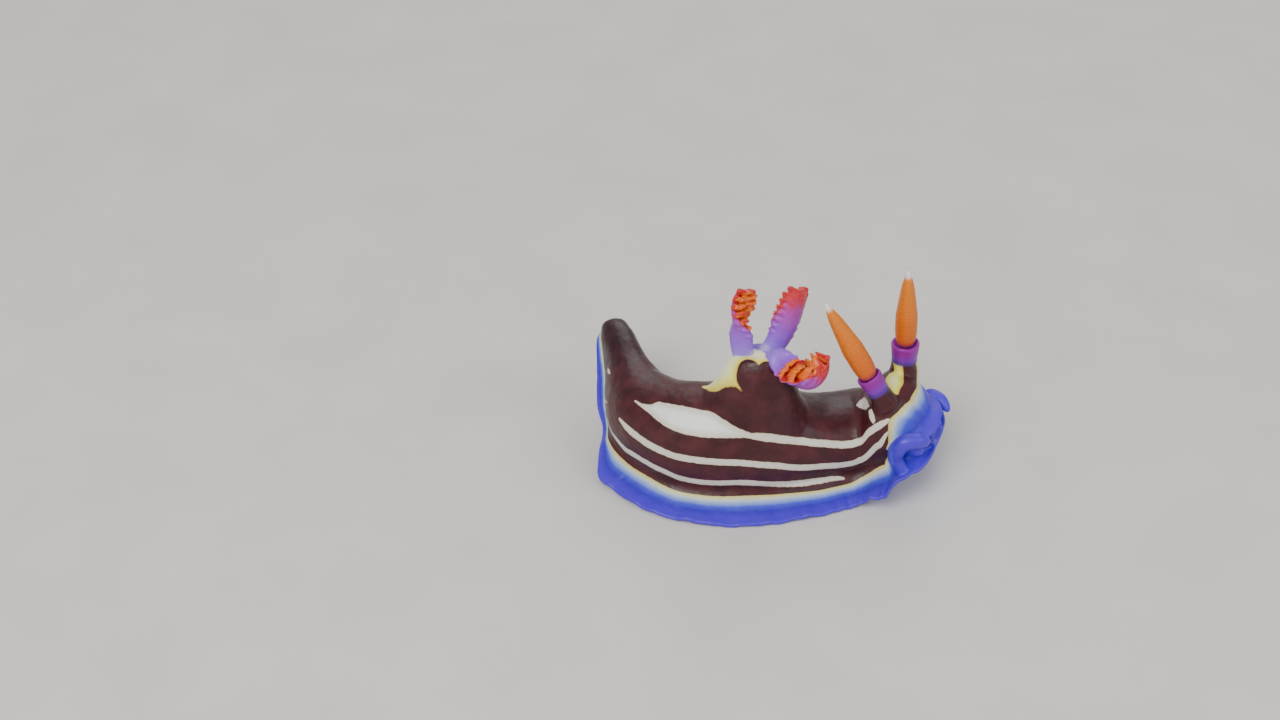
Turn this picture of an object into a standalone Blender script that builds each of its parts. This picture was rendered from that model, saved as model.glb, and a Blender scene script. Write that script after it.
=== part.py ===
"""A sea slug, life size: a tall soft body on a broad frilled foot, with its tail and its head raised.

The body follows one spine, measured along the sole. Every size here is in millimetres, and the meshes are
made in metres. +Z is up, the head is towards +X, and the right side of the animal is towards -Y.
"""

import math

import bmesh
import bpy
import numpy as np
from mathutils import Vector

MM = 0.001
GAP = 0.3  # between pieces that touch

# The spine, by the distance along the sole
TAIL_END = 1.0
BODY_END = 65.0  # the front of the head, where the body ends
FOOT_END = 65.5  # the front edge of the foot
REST_AT = 34.0  # a station of the stretch that lies flat on the floor, heading along +X
REST_X, REST_Y = -5.1, -5.5
# Bends of the spine: from, to, and the angle in degrees
TURNS = ((12.0, 40.5, 84.0), (38.0, 47.0, 8.0), (44.0, 61.0, -45.0))
LIFTS = ((-1.0, 8.0, -15.0), (5.0, 30.0, 42.0), (46.0, 61.0, 34.0))
LEAN = 0.6  # share of the lift that the sections lean by
ROLLS = ((51.0, 62.0, 6.0),)
SPINE_STEP = 0.1

# Body sizes as (station, size): the half width, and the height over the sole
HALF_WIDTH = ((1, 1.3), (2.5, 1.9), (5, 2.4), (9, 3.0), (14, 4.3), (20, 6.0), (28, 6.8), (36, 6.8), (46, 6.4))
HEIGHT = (
    *((1, 2.8), (2.5, 4.4), (5, 5.9), (10, 8.5), (16, 11.2), (22, 13.2), (28, 14.6)),
    *((34, 15.3), (42, 13.4), (48, 11.4), (54, 11.0), (60, 13.0), (66, 13.0)),
)
FOOT_HEIGHT = ((1, 1.0), (6, 1.5), (16, 2.2), (26, 2.5), (66, 2.3))
FOOT_RIGHT = (
    *((1, 1.5), (3, 2.6), (8, 3.7), (13, 5.1), (17, 7.0), (21, 8.8), (28, 10.4)),
    *((34, 10.5), (44, 10.2), (50, 9.8), (56, 10.3), (66, 10.0)),
)
FOOT_LEFT = ((1, 1.5), (3, 2.6), (8, 3.7), (14, 5.2), (20, 6.8), (28, 8.6), (36, 9.8), (46, 9.6), (66, 8.6))
TAIL_ROUND = (2.6, 2.2)  # where the tail starts to round off, and how square it is
HEAD_ROUND = (57.0, 2.5)
CROWN_ROUND = (56.5, 2.4)
FOOT_ROUND = (58.5, 2.4)
BASE_SHARE = 0.86  # half width of the body where it meets the foot, of its greatest
WAIST_SHARE = 0.40  # height of the widest place, from the foot to the top
FLANK_POWER = 2.25  # roundness of the back: 2 is an ellipse
MARGIN_EDGE = 0.55  # thickness of the foot's edge

# The mound that carries the gills
MOUND_AT = 37.0
MOUND_TOP = 21.1  # height of its flat top over the floor
MOUND_TOP_RADIUS, MOUND_FOOT_RADIUS = 3.1, 7.2

# Where the lengths of the body and of the foot start
BODY_CUTS = (("tail", TAIL_END), ("body_rear", 15.0), ("body_middle", 29.0), ("body_front", 45.0), ("head", 54.0))
FOOT_CUTS = (("foot_tail", TAIL_END), ("foot_rear", 15.0), ("foot_middle", 29.0), ("foot_front", 45.0))

# The head's own parts are placed from the sole at this station, as (forward, left, up)
HEAD_AT = 58.0
SHEATH_LENGTH = 3.2
CLUB_RADIUS = 1.5
CLUB_RIDGES = 12
# Thickness of a club as a share of its greatest, from its foot to its tip
CLUB_SHAPE = (
    *((0.0, 0.76), (0.08, 0.93), (0.2, 1.0), (0.36, 1.0), (0.5, 0.88), (0.66, 0.72)),
    *((0.8, 0.55), (0.9, 0.36), (0.97, 0.18), (1.0, 0.09)),
)
# Feelers on the head: where the sheath starts, its radii at the foot and the rim, the direction, and the length
RHINOPHORES = (
    ("rhinophore_right", (2.1, -3.3, 13.0), (1.85, 1.7), (-0.54, 0.10, 0.84), 12.2),
    ("rhinophore_left", (3.2, 4.6, 12.3), (1.75, 1.9), (-0.05, 0.0, 1.0), 11.6),
)
VEIL_UP, VEIL_REACH, VEIL_DROOP = 6.8, 2.6, 1.0

# Gills: broad blades that stand in a ring. The sizes go by the share of the length, from the base to the tip
GILL_RING = 2.1
GILL_HALF_WIDTH = ((0.0, 0.95), (0.15, 1.45), (0.4, 1.85), (0.8, 1.85), (1.0, 1.5))
GILL_HALF_THICKNESS = ((0.0, 0.85), (0.3, 1.1), (0.6, 0.95), (0.85, 0.75), (1.0, 0.5))
GILL_TIP_ROUND = (0.86, 2.0)
# Each gill: the base as an angle on the mound, the curve from it, which way the leaflets face, and their pairs
GILLS = (
    ("gill_upright", 175.0, ((-0.5, 0.5, 2.8), (-0.9, 1.6, 6.2), (0.1, 2.7, 8.5)), (0.8, 0.55, 0.1), 9),
    ("gill_leaning", 25.0, ((1.4, 0.2, 1.9), (2.7, 1.0, 5.9), (3.4, 1.7, 8.2)), (-0.25, 0.93, 0.1), 9),
    ("gill_drooping", -38.0, ((0.1, -2.5, 4.3), (4.5, -5.5, -5.9), (6.8, 0.9, 0.0)), (-0.6, 0.15, 0.8), 7),
)


def mixed(value, start, end):
    """0 before start, 1 after end, and smooth between."""
    x = np.clip((np.asarray(value, float) - start) / (end - start), 0.0, 1.0)
    return x * x * (3.0 - 2.0 * x)


def along(knots, t):
    """A smooth curve through (station, value) pairs that never overshoots them."""
    xs, ys = (np.array(v, float) for v in zip(*knots))
    steps, slopes = np.diff(xs), np.diff(ys) / np.diff(xs)
    bends = np.zeros(len(xs))
    bends[0], bends[-1] = slopes[0], slopes[-1]
    for i in range(1, len(xs) - 1):
        if slopes[i - 1] * slopes[i] > 0:
            bends[i] = 2.0 / (1.0 / slopes[i - 1] + 1.0 / slopes[i])
    t = np.clip(t, xs[0], xs[-1])
    i = int(np.clip(np.searchsorted(xs, t, side="right") - 1, 0, len(steps) - 1))
    h, x = steps[i], (t - xs[i]) / steps[i]
    return float(
        ys[i] * (1 + 2 * x) * (1 - x) ** 2
        + bends[i] * h * x * (1 - x) ** 2
        + ys[i + 1] * x * x * (3 - 2 * x)
        + bends[i + 1] * h * x * x * (x - 1)
    )


def rounded(t, start, end, power):
    """1 before start, then falling as a rounded corner does to 0 at end. End may also lie before start."""
    x = min(max((t - start) / (end - start), 0.0), 1.0)
    return (1.0 - x**power) ** (1.0 / power)


def tail_rounded(t):
    return rounded(t, TAIL_ROUND[0], TAIL_END, TAIL_ROUND[1])


def bump(value, centre, width):
    """1 at the centre, falling smoothly to 0 a width away on either side."""
    return 1.0 - float(mixed(abs(value - centre), 0.0, width))


def bent(bends, t):
    """The sum of the bends at a station, in radians, as measured from the station that rests on the floor."""
    total = sum(angle * (mixed(t, start, end) - mixed(REST_AT, start, end)) for start, end, angle in bends)
    return np.radians(total)


def spine_points():
    """Stations and their places on the sole's middle line, by adding up short steps."""
    stations = np.arange(TAIL_END, FOOT_END + 2 * SPINE_STEP, SPINE_STEP)
    middle = stations[:-1] + SPINE_STEP / 2
    turn, lift = bent(TURNS, middle), bent(LIFTS, middle)
    steps = np.stack([np.cos(lift) * np.cos(turn), np.cos(lift) * np.sin(turn), np.sin(lift)], axis=1)
    places = np.vstack([np.zeros(3), np.cumsum(steps * SPINE_STEP, axis=0)])
    rest = [np.interp(REST_AT, stations, places[:, k]) for k in range(3)]
    return stations, places - rest + np.array([REST_X, REST_Y, 0.0])


STATIONS, PLACES = spine_points()


class Frame:
    """The place of a station on the sole, with its forward, left and up directions."""

    def __init__(self, t):
        turn, roll = float(bent(TURNS, t)), float(bent(ROLLS, t))
        lift = LEAN * float(bent(LIFTS, t))
        self.origin = Vector([float(np.interp(t, STATIONS, PLACES[:, k])) for k in range(3)])
        self.forward = Vector((math.cos(lift) * math.cos(turn), math.cos(lift) * math.sin(turn), math.sin(lift)))
        level = Vector((-math.sin(turn), math.cos(turn), 0.0))
        upright = self.forward.cross(level)
        self.left = level * math.cos(roll) + upright * math.sin(roll)
        self.up = upright * math.cos(roll) - level * math.sin(roll)

    def place(self, left, up, forward=0.0):
        return self.origin + self.forward * forward + self.left * left + self.up * up


def foot_height(t):
    return along(FOOT_HEIGHT, t)


def half_width(t):
    return along(HALF_WIDTH, t) * tail_rounded(t) * rounded(t, HEAD_ROUND[0], BODY_END, HEAD_ROUND[1])


def body_height(t):
    base = foot_height(t)
    over = (along(HEIGHT, t) - base) * tail_rounded(t)
    return base + over * rounded(t, CROWN_ROUND[0], BODY_END, CROWN_ROUND[1])


def foot_half_width(t, side):
    """How far the foot reaches on a side, -1 for the right and 1 for the left."""
    knots = FOOT_RIGHT if side < 0 else FOOT_LEFT
    return along(knots, t) * tail_rounded(t) * rounded(t, FOOT_ROUND[0], FOOT_END, FOOT_ROUND[1])


def power_of(value, power):
    return math.copysign(abs(value) ** power, value)


def with_mound(t, left, up):
    """Lifts a point of the back onto the mound of the gills."""
    away = math.hypot(t - MOUND_AT, left)
    share = 1.0 - float(mixed(away, MOUND_TOP_RADIUS, MOUND_FOOT_RADIUS))
    above = float(mixed(up, WAIST_SHARE * body_height(t), body_height(t) * 0.8))
    return up + (MOUND_TOP - up) * share * above


def body_outline(t, flank=3, back=24):
    """(left, up) points round the body at a station, from its right base over the back to its left base."""
    wide, base, top = half_width(t), foot_height(t), body_height(t)
    waist = base + WAIST_SHARE * (top - base)
    depth = (waist - base) / math.sqrt(1.0 - BASE_SHARE**2)
    right = []
    for i in range(flank):
        up = base + (waist - base) * i / flank
        right.append((-wide * math.sqrt(1.0 - ((waist - up) / depth) ** 2), up))
    over = []
    for i in range(back + 1):
        angle = math.pi * i / back
        left = -wide * power_of(math.cos(angle), 2.0 / FLANK_POWER)
        up = waist + (top - waist) * power_of(math.sin(angle), 2.0 / FLANK_POWER)
        over.append((left, with_mound(t, left, up)))
    return right + over + [(-left, up) for left, up in reversed(right)]


def ripple(t, side):
    """How far the edge of the foot stands up at a station."""
    phase = 0.6 if side < 0 else 2.4
    wave = 0.5 + 0.5 * math.sin(2 * math.pi * t / 7.3 + phase) * math.cos(2 * math.pi * t / 17.0 + phase)
    corner = 1.2 * bump(t, 62.5, 3.0)
    return wave * (0.45 + 0.5 * float(mixed(t, 50.0, 57.0))) + corner


def foot_outline(t):
    """(left, up) points round the foot: its top from right to left, then its sole back to the right."""
    base = foot_height(t) - GAP
    body = BASE_SHARE * half_width(t)
    front = max(0.0, (t - FOOT_ROUND[0]) / (FOOT_END - FOOT_ROUND[0]))
    top, sole, edges = [], [], {}
    for side in (-1, 1):
        reach = foot_half_width(t, side)
        inner = min(body, 0.75 * reach)
        full = along(FOOT_RIGHT if side < 0 else FOOT_LEFT, t) * tail_rounded(t)
        margin = full - min(BASE_SHARE * along(HALF_WIDTH, t), 0.75 * full)
        rows = []
        for share in (0.0, 0.5, 1.0, 1.25, 1.5, 1.72, 1.9):
            left = inner * share if share <= 1.0 else inner + (reach - inner) * (share - 1.0) / 0.93
            level = (abs(left / full) ** FOOT_ROUND[1] + front ** FOOT_ROUND[1]) ** (1.0 / FOOT_ROUND[1])
            inside = min(max((1.0 - level) * full / margin, 0.0), 1.0)
            thick = MARGIN_EDGE + (base - MARGIN_EDGE) * inside**1.25
            lift = ripple(t, side) * (1.0 - inside) ** 1.6
            rows.append((side * left, lift + thick, lift))
        edges[side] = (side * reach, rows[-1][2] + 0.45 * MARGIN_EDGE)
        top.append([(left, up) for left, up, _ in rows])
        sole.append([(left, low) for left, _, low in rows])
    right_top, left_top = top
    right_sole, left_sole = sole
    return [edges[-1]] + right_top[:0:-1] + left_top + [edges[1]] + left_sole[:0:-1] + right_sole


def stations(start, end, step, front_from):
    """Stations of a length, drawn together where the tail or the front rounds off."""
    first, last = start, end
    before, after = [], []
    if start < TAIL_ROUND[0]:
        first = TAIL_ROUND[0]
        before = closing(first, start, 5)[:0:-1]
    if end > front_from:
        last = max(front_from, start)
        after = closing(last, end, 8)[1:]
    count = max(1, round((last - first) / step))
    plain = [first + (last - first) * i / count for i in range(count + 1)] if last > first else [first]
    return before + plain + after


def closing(start, end, count):
    """Stations from start to end, closer together towards the end."""
    return [start + (end - start) * math.sin(0.5 * math.pi * i / count) for i in range(count + 1)]


def lofted(rings):
    """A closed mesh through rings of points that have the same count, with a flat cap at each end."""
    mesh = bmesh.new()
    made = [[mesh.verts.new(point * MM) for point in ring] for ring in rings]
    for first, second in zip(made, made[1:]):
        for i in range(len(first)):
            j = (i + 1) % len(first)
            mesh.faces.new((first[i], first[j], second[j], second[i]))
    mesh.faces.new(made[0][::-1])
    mesh.faces.new(made[-1])
    bmesh.ops.recalc_face_normals(mesh, faces=mesh.faces)
    return mesh


def ring_round(centre, first, second, sides):
    """Points round a centre, reaching to its two half axes."""
    angles = [2.0 * math.pi * i / sides for i in range(sides)]
    return [centre + first * math.cos(a) + second * math.sin(a) for a in angles]


def finish(made, material):
    made.data.shade_smooth()
    made.data.set_sharp_from_angle(angle=math.radians(50))
    made.data.materials.clear()
    made.data.materials.append(material)


def add_object(name, mesh, material=None):
    data = bpy.data.meshes.new(name)
    mesh.to_mesh(data)
    mesh.free()
    made = bpy.data.objects.new(name, data)
    bpy.context.scene.collection.objects.link(made)
    if material:
        finish(made, material)
    return made


def paint(name, colour, roughness):
    material = bpy.data.materials.new(name)
    material.use_nodes = True
    shader = material.node_tree.nodes["Principled BSDF"]
    shader.inputs["Base Color"].default_value = (*colour, 1.0)
    shader.inputs["Roughness"].default_value = roughness
    return material


def keep_largest(mesh):
    """Leaves only the connected surface that has the most corners."""
    waiting, groups = set(mesh.verts), []
    while waiting:
        front, group = [waiting.pop()], set()
        while front:
            vert = front.pop()
            group.add(vert)
            fresh = [edge.other_vert(vert) for edge in vert.link_edges if edge.other_vert(vert) in waiting]
            waiting.difference_update(fresh)
            front.extend(fresh)
        groups.append(group)
    groups.sort(key=len)
    spare = [vert for group in groups[:-1] for vert in group]
    bmesh.ops.delete(mesh, geom=spare, context="VERTS")


def combine(base, others, operation, material):
    """Joins the others to the base, or cuts them from it, as one closed surface. The others are removed."""
    helpers = bpy.data.collections.new(base.name + "_helpers")
    bpy.context.scene.collection.children.link(helpers)
    for other in others:
        helpers.objects.link(other)
    step = base.modifiers.new("joined", "BOOLEAN")
    step.operation = operation
    step.operand_type = "COLLECTION"
    step.collection = helpers
    step.solver = "MANIFOLD"
    bpy.context.view_layer.update()
    evaluated = base.evaluated_get(bpy.context.evaluated_depsgraph_get())
    mesh = bmesh.new()
    mesh.from_mesh(evaluated.to_mesh())
    evaluated.to_mesh_clear()
    bmesh.ops.triangulate(mesh, faces=mesh.faces)
    keep_largest(mesh)
    base.modifiers.clear()
    mesh.to_mesh(base.data)
    mesh.free()
    for other in others:
        bpy.data.objects.remove(other)
    bpy.data.collections.remove(helpers)
    finish(base, material)


def body_lengths(material):
    ends = [at for _, at in BODY_CUTS[1:]] + [BODY_END]
    for (name, start), end in zip(BODY_CUTS, ends):
        first = start + 0.05 if start == TAIL_END else start + GAP / 2
        last = end - 0.06 if end == BODY_END else end - GAP / 2
        step = 0.75 if name == "body_middle" else 1.3
        rings = []
        for t in stations(first, last, step, 57.5):
            frame = Frame(t)
            rings.append([frame.place(left, up) for left, up in body_outline(t)])
        add_object(name, lofted(rings), material)


def foot_lengths(material):
    ends = [at for _, at in FOOT_CUTS[1:]] + [FOOT_END]
    for (name, start), end in zip(FOOT_CUTS, ends):
        first = start + 0.05 if start == TAIL_END else start + GAP / 2
        last = end - 0.06 if end == FOOT_END else end - GAP / 2
        rings = []
        for t in stations(first, last, 1.2, 59.0):
            frame = Frame(t)
            rings.append([frame.place(left, up) for left, up in foot_outline(t)])
        add_object(name, lofted(rings), material)


def turned(start, direction, profile, sides):
    """A closed mesh turned round a line, from (distance, radius) pairs along it."""
    first = direction.orthogonal().normalized()
    second = direction.cross(first).normalized()
    rings = [ring_round(start + direction * at, first * radius, second * radius, sides) for at, radius in profile]
    return lofted(rings)


def club_profile(length):
    """(distance, radius) pairs of a feeler's club, with ridges round it over most of its length."""
    profile = [(0.0, 0.76 * CLUB_RADIUS), (0.7, 0.88 * CLUB_RADIUS)]
    start, end = 0.9, length - 1.5
    for i in range(CLUB_RIDGES):
        for part_way, height in ((0.15, 0.0), (0.65, 0.11)):
            at = start + (end - start) * (i + part_way) / CLUB_RIDGES
            share = at / length
            profile.append((at, CLUB_RADIUS * along(CLUB_SHAPE, share) - 0.1 + height))
    return profile + [(length - 1.1, 0.46), (length - 0.45, 0.28), (length - 0.06, 0.14)]


def rhinophore(name, base, direction, length, material):
    forward, left, up = base
    start = Frame(HEAD_AT).place(left, up, forward)
    direction = Vector(direction).normalized()
    bottom = start + direction * (SHEATH_LENGTH + GAP)
    add_object(name, turned(bottom, direction, club_profile(length), 12), material)


def sheath(base, radii, direction):
    """The raised collar that a feeler stands on, sunk into the head."""
    forward, left, up = base
    start = Frame(HEAD_AT).place(left, up, forward)
    foot_radius, rim_radius = radii
    profile = (
        (-2.0, foot_radius + 0.2),
        (0.6, foot_radius),
        (SHEATH_LENGTH - 0.5, rim_radius + 0.05),
        (SHEATH_LENGTH - 0.1, rim_radius),
        (SHEATH_LENGTH, rim_radius - 0.18),
    )
    return add_object("sheath", turned(start, Vector(direction).normalized(), profile, 16))


def veil():
    """The flared lip over the mouth, from one front corner of the head to the other."""
    head = Frame(HEAD_AT)
    ahead = BODY_END - HEAD_AT - 1.2
    aside = half_width(HEAD_AT) - 0.7
    rings = []
    count = 22
    for i in range(count + 1):
        angle = math.radians(-78.0 + 162.0 * i / count)
        fade = min(1.0, 0.35 + 1.9 * math.sin(math.pi * i / count))
        wave = 0.35 * math.sin(5.0 * angle + 0.7)
        upper, lower = [], []
        for share, thick in ((-0.62, 0.5), (0.0, 1.5), (0.4, 1.1), (0.75, 0.75), (0.96, 0.55)):
            out = VEIL_REACH * fade * share
            forward = (ahead + out) * math.cos(angle) - 0.2
            left = (aside + 0.75 * out) * math.sin(angle)
            flare = max(share, 0.0)
            up = VEIL_UP - VEIL_DROOP * fade * flare**1.5 + wave * flare
            upper.append(head.place(left, up + thick / 2, forward))
            lower.append(head.place(left, up - thick / 2, forward))
        rings.append(upper + lower[::-1])
    return add_object("veil", lofted(rings))


def oral_tentacle(side):
    """A short flattened feeler beside the mouth, under the veil."""
    head = Frame(HEAD_AT)
    across = (head.left * 0.9 - head.up * 0.25 * side).normalized()
    rings = []
    for forward, left, up, thick, tall in (
        (1.2, 3.9, 5.6, 0.9, 1.0),
        (2.6, 5.0, 5.7, 0.85, 1.3),
        (4.0, 5.6, 5.6, 0.8, 1.4),
        (5.4, 5.7, 5.3, 0.7, 1.3),
        (6.3, 5.6, 5.0, 0.55, 0.95),
        (6.8, 5.4, 4.8, 0.3, 0.45),
    ):
        rings.append(ring_round(head.place(side * left, up, forward), across * thick, head.up * tall, 10))
    return add_object("tentacle", lofted(rings))


def mouth():
    """The slot that is cut for the mouth."""
    head = Frame(HEAD_AT)
    rings = []
    for forward in (BODY_END - HEAD_AT - 2.2, BODY_END - HEAD_AT + 1.5):
        rings.append(ring_round(head.place(0.0, 3.9, forward), head.left * 1.7, head.up * 0.42, 12))
    return add_object("mouth", lofted(rings))


def curve_point(points, s):
    a, b, c, d = points
    return a * (1 - s) ** 3 + b * 3 * s * (1 - s) ** 2 + c * 3 * s * s * (1 - s) + d * s**3


def gill_frame(points, inner, s):
    """The place on a gill's middle line, its direction, the side its leaflets face, and the side way."""
    low, high = max(s - 0.01, 0.0), min(s + 0.01, 1.0)
    direction = (curve_point(points, high) - curve_point(points, low)).normalized()
    face = (inner - direction * inner.dot(direction)).normalized()
    return curve_point(points, s), direction, face, direction.cross(face)


def gill_sizes(s):
    """Half the width and half the thickness of a gill's blade."""
    tip = rounded(s, GILL_TIP_ROUND[0], 1.0, GILL_TIP_ROUND[1])
    return along(GILL_HALF_WIDTH, s) * tip, along(GILL_HALF_THICKNESS, s) * tip


def matched(before, ring):
    """The same ring, started at the point and run in the sense that lie nearest the ring before it."""
    ways = []
    for way in (ring, ring[::-1]):
        for i in range(len(way)):
            moved = way[i:] + way[:i]
            ways.append((sum((a - b).length for a, b in zip(before, moved)), i, moved))
    return min(ways, key=lambda item: item[0])[2]


def leaflet(points, inner, s, side, long):
    """One leaflet of a gill, sunk in the blade beside its middle line and slanting towards its edge."""
    centre, direction, face, across = gill_frame(points, inner, s)
    wide, thick = gill_sizes(s)
    slant = math.radians(48.0)
    out = face * math.cos(slant) + across * (side * math.sin(slant))
    out = (out * 0.94 + direction * 0.34).normalized()
    flat = (direction - out * direction.dot(out)).normalized()
    start = centre + across * (side * 0.42 * wide)
    rings = []
    for at, half, deep in (
        (0.1 * thick, 0.30, 0.28),
        (0.9 * thick + 0.25 * long, 0.42, 0.38),
        (0.9 * thick + 0.75 * long, 0.38, 0.34),
        (0.9 * thick + long, 0.16, 0.15),
    ):
        rings.append(ring_round(start + out * at, flat * half, out.cross(flat) * deep, 6))
    return add_object("leaflet", lofted(rings))


def gill(name, angle, offsets, inner, pairs, material):
    """A bent blade with pairs of leaflets along the side that faces in."""
    turn = math.radians(angle)
    base = Frame(MOUND_AT).place(GILL_RING * math.sin(turn), MOUND_TOP + GAP, GILL_RING * math.cos(turn))
    points = [base] + [base + Vector(offset) for offset in offsets]
    inner = Vector(inner)
    level = Vector((inner.x, inner.y, 0.0)).normalized()
    wide, thick = gill_sizes(0.0)
    rings = [ring_round(base, level * thick, Vector((0, 0, 1)).cross(level) * wide, 12)]
    count = 12
    for i in range(1, count + 1):
        share = math.sin(0.5 * math.pi * i / count) * 0.995
        centre, _, face, side = gill_frame(points, inner, share)
        wide, thick = gill_sizes(share)
        rings.append(matched(rings[-1], ring_round(centre, face * thick, side * wide, 12)))
    blade = add_object(name, lofted(rings))
    leaflets = []
    for i in range(pairs):
        share = i / (pairs - 1)
        long = 1.1 * (1.0 - 0.35 * abs(2.0 * share - 0.9))
        for side in (-1, 1):
            leaflets.append(leaflet(points, inner, 0.36 + 0.57 * share, side, long))
    combine(blade, leaflets, "UNION", material)


def main():
    for old in list(bpy.data.objects):
        bpy.data.objects.remove(old)
    maroon = paint("maroon_skin", (0.10, 0.028, 0.03), 0.45)
    violet = paint("violet_margin", (0.10, 0.07, 0.55), 0.45)
    orange = paint("orange_club", (0.75, 0.19, 0.01), 0.45)
    red = paint("red_gill", (0.55, 0.05, 0.10), 0.45)
    body_lengths(maroon)
    foot_lengths(violet)
    head = bpy.data.objects["head"]
    sheaths = [sheath(base, radii, direction) for _, base, radii, direction, _ in RHINOPHORES]
    combine(head, sheaths + [veil(), oral_tentacle(-1), oral_tentacle(1)], "UNION", maroon)
    combine(head, [mouth()], "DIFFERENCE", maroon)
    for name, base, _, direction, length in RHINOPHORES:
        rhinophore(name, base, direction, length, orange)
    for name, angle, offsets, inner, pairs in GILLS:
        gill(name, angle, offsets, inner, pairs, red)


main()
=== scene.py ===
"""The looks of a sea slug: one marked skin over the body and the foot, three plumed gills and two feelers.

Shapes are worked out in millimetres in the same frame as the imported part, and made in metres.
"""

import math

import bmesh
import bpy
import numpy as np
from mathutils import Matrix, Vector, noise
from mathutils.kdtree import KDTree


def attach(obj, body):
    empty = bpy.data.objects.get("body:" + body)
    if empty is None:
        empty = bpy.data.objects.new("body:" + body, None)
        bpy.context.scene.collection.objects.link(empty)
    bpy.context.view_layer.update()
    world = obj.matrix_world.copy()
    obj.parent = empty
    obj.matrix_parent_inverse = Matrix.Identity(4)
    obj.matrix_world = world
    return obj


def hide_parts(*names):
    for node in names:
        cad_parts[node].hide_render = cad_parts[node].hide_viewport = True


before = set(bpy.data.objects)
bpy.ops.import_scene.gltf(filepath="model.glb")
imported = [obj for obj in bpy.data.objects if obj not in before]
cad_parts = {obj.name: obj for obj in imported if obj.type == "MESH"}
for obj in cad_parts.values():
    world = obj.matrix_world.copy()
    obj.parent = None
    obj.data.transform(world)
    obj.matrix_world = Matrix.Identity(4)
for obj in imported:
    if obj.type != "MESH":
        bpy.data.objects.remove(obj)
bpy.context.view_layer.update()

MM = 0.001

# The spine, by the distance along the sole
TAIL_END = 1.0
BODY_END = 65.0
FOOT_END = 65.5
REST_AT = 34.0
REST_X, REST_Y = -5.1, -5.5
TURNS = ((12.0, 40.5, 84.0), (38.0, 47.0, 8.0), (44.0, 61.0, -45.0))
LIFTS = ((-1.0, 8.0, -15.0), (5.0, 30.0, 42.0), (46.0, 61.0, 34.0))
LEAN = 0.6
ROLLS = ((51.0, 62.0, 6.0),)
SPINE_STEP = 0.1
SPINE_BEYOND = 6.0

# Body and foot sizes as (station, size)
HALF_WIDTH = (
    *((1, 1.3), (2.5, 1.9), (5, 2.4), (9, 3.0), (14, 4.3), (20, 6.0)),
    *((28, 6.8), (36, 6.8), (46, 6.4)),
)
HEIGHT = (
    *((1, 2.8), (2.5, 4.4), (5, 5.9), (10, 8.5), (16, 11.2), (22, 13.2), (28, 14.6)),
    *((34, 15.3), (42, 13.1), (48, 10.9), (54, 10.6), (60, 12.9), (66, 13.0)),
)
FOOT_HEIGHT = ((1, 1.0), (6, 1.5), (16, 2.2), (26, 2.5), (66, 2.3))
FOOT_RIGHT = (
    *((1, 1.5), (3, 2.6), (8, 3.7), (13, 5.1), (17, 7.0), (21, 8.8), (28, 10.4)),
    *((34, 10.5), (44, 10.2), (50, 9.8), (56, 10.3), (66, 10.0)),
)
FOOT_LEFT = (
    *((1, 1.5), (3, 2.6), (8, 3.7), (14, 5.2), (20, 6.8)),
    *((28, 8.6), (36, 9.8), (46, 9.6), (66, 8.6)),
)
# The right edge's sharp corner and the narrow stretch behind it, as (station, reach added, half the length)
FOOT_CORNER = ((21.4, 0.85, 1.3), (16.4, -1.5, 3.0))
# The frill of the foot's edge: its two wave lengths, and the front corners, where it stands up most
FRILL_LENGTHS = (7.3, 17.0)
FRONT_CORNER_AT, FRONT_CORNER_HALF, FRONT_CORNER_UP = 62.5, 3.0, 1.2
TAIL_ROUND = (2.6, 2.2)
HEAD_ROUND = (57.0, 2.5)
CROWN_ROUND = (56.5, 2.4)
FOOT_ROUND = (58.5, 2.4)
BASE_SHARE = 0.86
WAIST_SHARE = 0.40
FLANK_POWER = 2.25
MARGIN_EDGE = 0.5
MOUND_AT = 37.0
MOUND_TOP = 21.1
MOUND_FOOT_RADIUS = 7.2
# The skin's own mound is a little narrower, and its top slopes down to the animal's left
CROWN_EDGE = 2.7
CROWN_HEIGHT, CROWN_SLOPE = 21.6, 0.25

# The head's own parts, as (forward, left, up) from the sole at this station
HEAD_AT = 58.0
SHEATH_LENGTH = 3.2
CLUB_GAP = 0.3
CLUB_RADIUS = 1.5
CLUB_PLATES = 34
CLUB_RIDGE = 0.05
CLUB_AROUND = 80
CLUB_SHAPE = (
    *((0.0, 0.76), (0.08, 0.93), (0.2, 1.0), (0.36, 1.0), (0.5, 0.88), (0.66, 0.72)),
    *((0.8, 0.55), (0.9, 0.36), (0.97, 0.18), (1.0, 0.09)),
)
# Each feeler: where its sheath starts, the sheath's radii at its foot and rim, the direction and the length
RHINOPHORES = (
    ("rhinophore_right", (2.1, -3.3, 13.0), (1.5, 1.68), (-0.51, 0.10, 0.86), 12.5),
    ("rhinophore_left", (3.2, 4.6, 12.3), (1.75, 1.9), (-0.05, 0.0, 1.0), 11.6),
)
VEIL_UP, VEIL_REACH, VEIL_DROOP = 6.8, 2.6, 1.0
# The angles round the head where the veil starts on the right and ends on the left
VEIL_START, VEIL_END = -80.0, 86.0
# The veil from inside the head out to its rim, as (share of its reach, thickness)
VEIL_PROFILE = (
    *((-1.2, 3.2), (-0.9, 2.9), (-0.62, 2.6), (-0.3, 2.3), (0.0, 1.8), (0.2, 1.35), (0.4, 1.05)),
    *((0.6, 0.8), (0.75, 0.66), (0.86, 0.56), (0.93, 0.42), (0.97, 0.2)),
)
# The fold beside the head, as (forward, aside, up, radius)
HEAD_FOLD = (
    *((7.6, 4.4, 5.8, 0.9), (6.3, 5.7, 7.0, 1.15), (4.9, 6.4, 7.3, 1.2), (3.7, 6.7, 6.3, 1.15)),
    *((3.0, 6.8, 4.8, 1.05), (3.3, 6.9, 3.4, 1.0), (4.4, 7.0, 2.2, 0.9)),
)
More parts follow.
